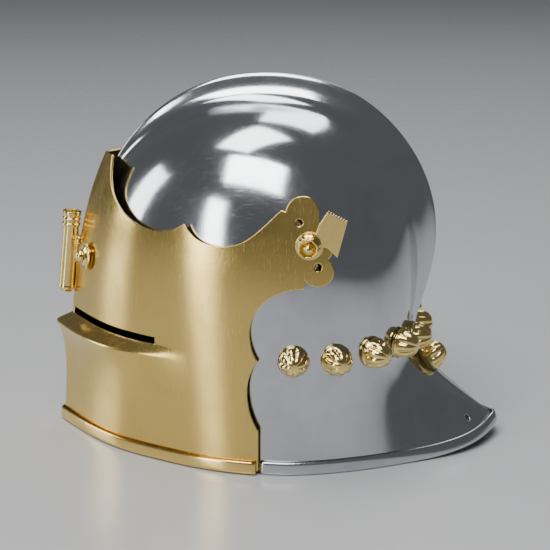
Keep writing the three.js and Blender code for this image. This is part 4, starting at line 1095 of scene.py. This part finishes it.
def places_of(mesh):
    places = np.zeros(len(mesh.vertices) * 3)
    mesh.vertices.foreach_get("co", places)
    return places.reshape(-1, 3) / MM


def move_to(mesh, places):
    mesh.vertices.foreach_set("co", (places * MM).ravel())


def blow_up(obj, held):
    """Cloth pressure on the object, with the held vertices still."""
    obj.vertex_groups.new(name="seams").add([int(i) for i in np.flatnonzero(held)], 1.0, "REPLACE")
    cloth = obj.modifiers.new("cloth", "CLOTH")
    settings = cloth.settings
    settings.use_pressure, settings.uniform_pressure_force = True, 4
    settings.vertex_group_mass = "seams"
    settings.effector_weights.gravity = 0
    settings.quality = 5
    settings.tension_stiffness = settings.compression_stiffness = 25
    cloth.point_cache.frame_start, cloth.point_cache.frame_end = 1, 20
    for frame_number in range(1, 21):
        scene.frame_set(frame_number)
    blown = evaluated(obj)
    scene.frame_set(1)
    return blown


def liner_cap():
    """The quilted cap: its CAD body remeshed and blown up by Cloth with the seams held still."""
    source = bpy.data.objects["liner"]
    mesh = source.data.copy()
    mesh.transform(source.matrix_world)
    obj = bpy.data.objects.new("quilted_liner", mesh)
    scene.collection.objects.link(obj)
    remesh = obj.modifiers.new("even", "REMESH")
    remesh.mode, remesh.voxel_size = "VOXEL", LINER_VOXEL * MM
    even = evaluated(obj)
    rest = places_of(even)
    normals = np.array([tuple(vertex.normal) for vertex in even.vertices])
    share = seam_share(rest)
    sunk = rest - normals * (SEAM_DEPTH * np.exp(-(share / SEAM_SPREAD) ** 2))[:, None]
    move_to(even, sunk)
    blown = blow_up(obj, share < HELD_SHARE)
    move = places_of(blown) - sunk
    size = np.linalg.norm(move, axis=1, keepdims=True)
    shape = sunk + move * np.minimum(1, PUFF_LIMIT / np.maximum(size, 1e-6))
    shape[:, 2] = np.maximum(shape[:, 2], LINER_LOW_Z)
    move_to(blown, shape)
    smooth = obj.modifiers.new("smooth", "SUBSURF")
    smooth.levels = smooth.render_levels = 1
    fine = evaluated(obj)
    obj.vertex_groups.clear()
    fine.shade_smooth()
    fine.materials.clear()
    fine.materials.append(LINEN)
    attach(obj, "helmet")
    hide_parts("liner")


# ---- Chin strap ---------------------------------------------------------------------------------------
def curve_through(control, count):
    """A centripetal Catmull-Rom curve through [x, z] points, stepping evenly from each to the next."""
    control = np.array(control, float)
    control = np.concatenate([[2 * control[0] - control[1]], control, [2 * control[-1] - control[-2]]])
    points = []
    for share in np.linspace(0, len(control) - 3, count):
        start = min(int(share), len(control) - 4)
        near = control[start:start + 4]
        knots = np.concatenate([[0], np.cumsum(np.sqrt(np.linalg.norm(np.diff(near, axis=0), axis=1)))])
        t = knots[1] + (share - start) * (knots[2] - knots[1])

        def blend(a, b, low, high):
            return ((knots[high] - t) * a + (t - knots[low]) * b) / (knots[high] - knots[low])
        first, second, third = [blend(near[k], near[k + 1], k, k + 1) for k in range(3)]
        points.append(blend(blend(first, second, 0, 2), blend(second, third, 1, 3), 1, 2))
    return np.array(points)


def strap_line(end_x):
    """The strap's outer face from the front rivet down the wall and along to its end, as [x, z]."""
    wall = skull.seat(RIVET_PLACES["front"][0])[0][0] - STRAP_DEPTH
    return curve_through([
        [wall - 0.6, 96], [wall, 84], [wall - 1, 60], [wall - 3, 34], [wall - 10, 13],
        [wall - 24, FLOOR_Z + 0.6], [wall - 40, FLOOR_Z], [end_x + 18, FLOOR_Z], [end_x, FLOOR_Z]], 120)


def across(line):
    """The line's tangents and the normals to its inner side."""
    along = unit(np.gradient(line, axis=0))
    return along, np.stack([along[:, 1], -along[:, 0]], axis=1)


def ribbon(line, widths, centre_y):
    """A leather strap with rounded edges, on the inner side of an [x, z] line."""
    _, inner = across(line)
    sections = []
    for (x, z), (nx, nz), width in zip(line, inner, widths):
        section = []
        for y, depth in ((1, 0.5), (0.97, 0.05), (0.5, 0), (-0.5, 0), (-0.97, 0.05), (-1, 0.5),
                         (-0.97, 0.95), (-0.5, 1), (0.5, 1), (0.97, 0.95)):
            tuck = 0.1 * (1 - abs(2 * depth - 1))
            reach = y * width / 2 - math.copysign(tuck, y)
            rise = depth * STRAP_THICK
            section.append([x + nx * rise, centre_y + reach, z + nz * rise])
        sections.append(soft_section(np.array(section), 1))
    return outward(*swept(sections))


def joined(*solids):
    points, faces = [], []
    for more, their_faces in solids:
        faces += [[i + len(points) for i in face] for face in their_faces]
        points += list(more)
    return np.array(points), faces


def seam_along(line, offset_y, inset_thick, start, stop, pitch=3.6):
    """Stitches on the strap's inner face along one edge."""
    along, inner = across(line)
    run = np.concatenate([[0], np.cumsum(np.linalg.norm(np.diff(line, axis=0), axis=1))])
    stations = np.arange(start, run[-1] - stop, pitch)
    x, z = (np.interp(stations, run, line[:, i]) for i in (0, 1))
    ax, az = (np.interp(stations, run, along[:, i]) for i in (0, 1))
    nx, nz = (np.interp(stations, run, inner[:, i]) for i in (0, 1))
    zero = np.zeros(len(stations))
    places = np.stack([x + nx * inset_thick, zero + STRAP_Y + offset_y, z + nz * inset_thick], axis=1)
    return places, unit(np.stack([ax, zero, az], axis=1)), unit(np.stack([nx, zero, nz], axis=1))


def chin_straps():
    left = strap_line(BAR_X + 2)
    left = left[left[:, 0] > BAR_X + 5.5]
    width = np.full(len(left), STRAP_WIDTH - 0.1)
    width[:6] = STRAP_WIDTH * np.sqrt(np.linspace(0.3, 1, 6))
    parts = [ribbon(left, width, STRAP_Y)]
    angles = np.linspace(-math.pi / 2, -2 * math.pi - 0.5, 44)
    centre = np.array([BAR_X, BAR_Z])
    loop = centre + EYE_R * np.stack([np.cos(angles), np.sin(angles)], axis=1)
    tail = np.stack([np.linspace(BAR_X + 6, BAR_X + 0.2, 8), np.full(8, FLOOR_Z)], axis=1)
    eye = np.concatenate([tail, loop])
    for sign in (1, -1):
        parts.append(ribbon(eye, np.full(len(eye), 5.3), STRAP_Y + sign * 5.3))
    add_piece("chin_strap_left_leather", make_mesh("chin_strap_left_leather", *joined(*parts)), "helmet",
              LEATHER, "brown_leather", "chin_strap_left")

    right = strap_line(4)
    tip = right[:, 0]
    width = (STRAP_WIDTH - 0.1) * np.sqrt(np.clip((tip - 3.6) / 9, 0.02, 1))
    width[:6] = STRAP_WIDTH * np.sqrt(np.linspace(0.3, 1, 6))
    strap = ribbon(right, width, STRAP_Y)
    add_piece("chin_strap_right_leather", make_mesh("chin_strap_right_leather", *strap, mirror=True),
              "helmet", LEATHER, "brown_leather", "chin_strap_right")
    eyelets = []
    for x in (20, 32, 44):
        eyelet = ring(1.5, 2.9, FLOOR_Z - 0.2, FLOOR_Z + STRAP_THICK + 0.35)
        points, faces = turned(eyelet, 28)
        eyelets.append((points + (x, STRAP_Y, 0), faces))
    add_piece("strap_eyelets", make_mesh("strap_eyelets", *joined(*eyelets), mirror=True), "helmet",
              CAST_BRASS, "cast_brass", "chin_strap_right")
    for name, line, stop, mirror in (("left", left, 2, False), ("right", right, 12, True)):
        seams = [seam_along(line, sign * (STRAP_WIDTH / 2 - 2), STRAP_THICK, 4, stop) for sign in (1, -1)]
        sewn = stitches(*(np.concatenate(group) for group in zip(*seams)), length=2.3, thick=0.7)
        add_piece(f"chin_strap_{name}_stitching", make_mesh("strap_stitching", *sewn, mirror=mirror),
                  "helmet", THREAD, "linen", f"chin_strap_{name}")


def tube_along(line, radii, sides=20, closed=False):
    """A round bar along a line of points."""
    line = np.array(line, float)
    if closed:
        along = unit(np.roll(line, -1, axis=0) - np.roll(line, 1, axis=0))
    else:
        along = unit(np.gradient(line, axis=0))
    flat = np.array([0.0, 0, 1]) if abs(along[:, 2]).max() < 0.8 else np.array([0.0, 1, 0])
    side = unit(np.cross(along, flat))
    up = np.cross(side, along)
    angles = np.linspace(0, 2 * math.pi, sides, endpoint=False)[None, :, None]
    radii = np.array(radii, float).reshape(-1, 1, 1)
    sections = line[:, None] + radii * (np.cos(angles) * side[:, None] + np.sin(angles) * up[:, None])
    return outward(*swept(sections, closed))


def rounded_loop(half_a, half_b, radius, steps=10):
    """A closed rounded rectangle about the origin."""
    loop = []
    for quarter, (a, b) in enumerate(((1, 1), (-1, 1), (-1, -1), (1, -1))):
        for angle in np.linspace(0, math.pi / 2, steps):
            turn = angle + quarter * math.pi / 2
            loop.append([a * (half_a - radius) + radius * math.cos(turn),
                         b * (half_b - radius) + radius * math.sin(turn)])
    return np.array(loop)


def buckle():
    middle_x = BAR_X - BUCKLE_LENGTH / 2
    loop = rounded_loop(BUCKLE_LENGTH / 2, BUCKLE_WIDTH / 2, 2.6)
    line = np.concatenate([loop + (middle_x, STRAP_Y), np.full((len(loop), 1), BAR_Z)], axis=1)
    front = smoothstep(-line[:, 0], -(BAR_X - BUCKLE_LENGTH + 5), -(BAR_X - BUCKLE_LENGTH))
    frame_solid = tube_along(line, BAR_R * (0.97 + 0.03 * front), closed=True)
    add_piece("strap_buckle_frame", make_mesh("strap_buckle_frame", *frame_solid), "helmet", CAST_BRASS,
              "cast_brass", "strap_buckle")

    collar = turned(ring(BAR_R + GAP, BAR_R + GAP + 1.3, -1.6, 1.6, 0.5), 40)
    collar = seated(collar, (BAR_X, STRAP_Y, BAR_Z), (0, 1, 0))
    top = BAR_Z + BAR_R + GAP + TONGUE_R
    xs = np.linspace(BAR_X - 0.6, BAR_X - BUCKLE_LENGTH - 1.2, 30)
    share = np.linspace(0, 1, 30)
    line = np.stack([xs, np.full(30, float(STRAP_Y)), top + 0.1 * np.sin(share * math.pi)], axis=1)
    radii = TONGUE_R * (1 - 0.18 * share) * np.sqrt(np.clip((1.02 - share) / 0.06, 0.1, 1))
    prong = joined(collar, tube_along(line, radii))
    add_piece("buckle_tongue_prong", make_mesh("buckle_tongue_prong", *prong), "tongue", CAST_BRASS,
              "cast_brass", "buckle_tongue")

    keeper_x, middle_z = BAR_X + 17, FLOOR_Z + STRAP_THICK / 2
    outer = rounded_loop((STRAP_WIDTH + 4.2) / 2, (STRAP_THICK + 3.6) / 2, 1.6)
    inner = rounded_loop((STRAP_WIDTH + 2 * GAP + 0.3) / 2, (STRAP_THICK + 2 * GAP + 0.4) / 2, 0.6)
    sections = []
    for (out_y, out_z), (in_y, in_z) in zip(outer, inner):
        section = [[keeper_x + x, STRAP_Y + (out_y if out else in_y),
                    middle_z + (out_z + 0.1 if out else in_z)]
                   for x, out in ((-3.4, 0), (-3.4, 1), (-1.2, 1), (1.2, 1), (3.4, 1), (3.4, 0), (1.2, 0),
                                  (-1.2, 0))]
        sections.append(soft_section(np.array(section, float), 1))
    add_piece("strap_keeper_loop", make_mesh("strap_keeper_loop", *outward(*swept(sections, closed=True))),
              "helmet", LEATHER, "brown_leather", "strap_keeper")


# ---- Staging ------------------------------------------------------------------------------------------
CAMERA_TARGET = Vector((0, 0, 0.1202))
CAMERA_DISTANCE, CAMERA_AZIMUTH, CAMERA_PITCH, CAMERA_LENS = 1.22, 96, 14, 104.73
FLOOR_REACH = 14.0                # metres, as all of the staging is


def towards(azimuth, rise):
    """The direction from the helmet at an azimuth and elevation in degrees."""
    azimuth, rise = math.radians(azimuth), math.radians(rise)
    return Vector((math.sin(azimuth) * math.cos(rise), -math.cos(azimuth) * math.cos(rise), math.sin(rise)))


def add_camera():
    back = towards(CAMERA_AZIMUTH, CAMERA_PITCH)
    data = bpy.data.cameras.new("camera")
    data.lens, data.sensor_width = CAMERA_LENS, 36
    camera = bpy.data.objects.new("camera", data)
    camera.location = CAMERA_TARGET + back * CAMERA_DISTANCE
    camera.rotation_mode = "QUATERNION"
    camera.rotation_quaternion = (-back).to_track_quat("-Z", "Y")
    scene.collection.objects.link(camera)
    scene.camera = camera


def softbox(name, direction, distance, size, power):
    """An area light that looks at the helmet from an azimuth and elevation in degrees."""
    back = towards(*direction)
    data = bpy.data.lights.new(name, "AREA")
    data.shape, data.size, data.size_y = "RECTANGLE", *size
    data.energy = power
    light = bpy.data.objects.new(name, data)
    light.location = Vector((0, 0, 0.12)) + back * distance
    light.rotation_mode = "QUATERNION"
    light.rotation_quaternion = (-back).to_track_quat("-Z", "Y")
    scene.collection.objects.link(light)


def studio():
    world = bpy.data.worlds.new("studio")
    scene.world = world
    world.use_nodes = True
    tree = world.node_tree
    tree.nodes["Background"].inputs["Color"].default_value = (0.36, 0.37, 0.385, 1)
    tree.nodes["Background"].inputs["Strength"].default_value = 0.34
    softbox("key", (74, 56), 3.0, (1.95, 1.45), 88)
    softbox("front_left", (50, 13), 5.0, (0.95, 2.6), 74)
    softbox("front", (-8, 16), 5.0, (1.6, 2.6), 74)
    softbox("top", (-40, 78), 2.6, (1.7, 1.0), 34)
    softbox("far_side", (-100, 46), 3.8, (1.5, 1.1), 25)

    mesh = bpy.data.meshes.new("floor")
    corners = [(x * FLOOR_REACH, y * FLOOR_REACH, 0) for x, y in ((-1, -1), (1, -1), (1, 1), (-1, 1))]
    mesh.from_pydata(corners, [], [(0, 1, 2, 3)])
    floor = bpy.data.objects.new("floor", mesh)
    scene.collection.objects.link(floor)
    shader = Shader("pale_floor")
    speckle = shader.noise(shader.place(False), 60.0, 4.0)
    shader.set(Base_Color=shader.mix(shader.spread(speckle, 0.3, 0.7, 0, 0.25), (0.47, 0.475, 0.485, 1),
                                     (0.44, 0.445, 0.455, 1)), Specular_IOR_Level=0.5)
    shader.set(Roughness=shader.spread(speckle, 0.3, 0.7, 0.2, 0.26))
    mesh.materials.append(shader.material)


add_camera()
studio()
skull_shell()
visor_shell()
make_rims()
lining_rivets()
pivots()
plume_holder()
lining_band()
liner_cap()
chin_straps()
buckle()
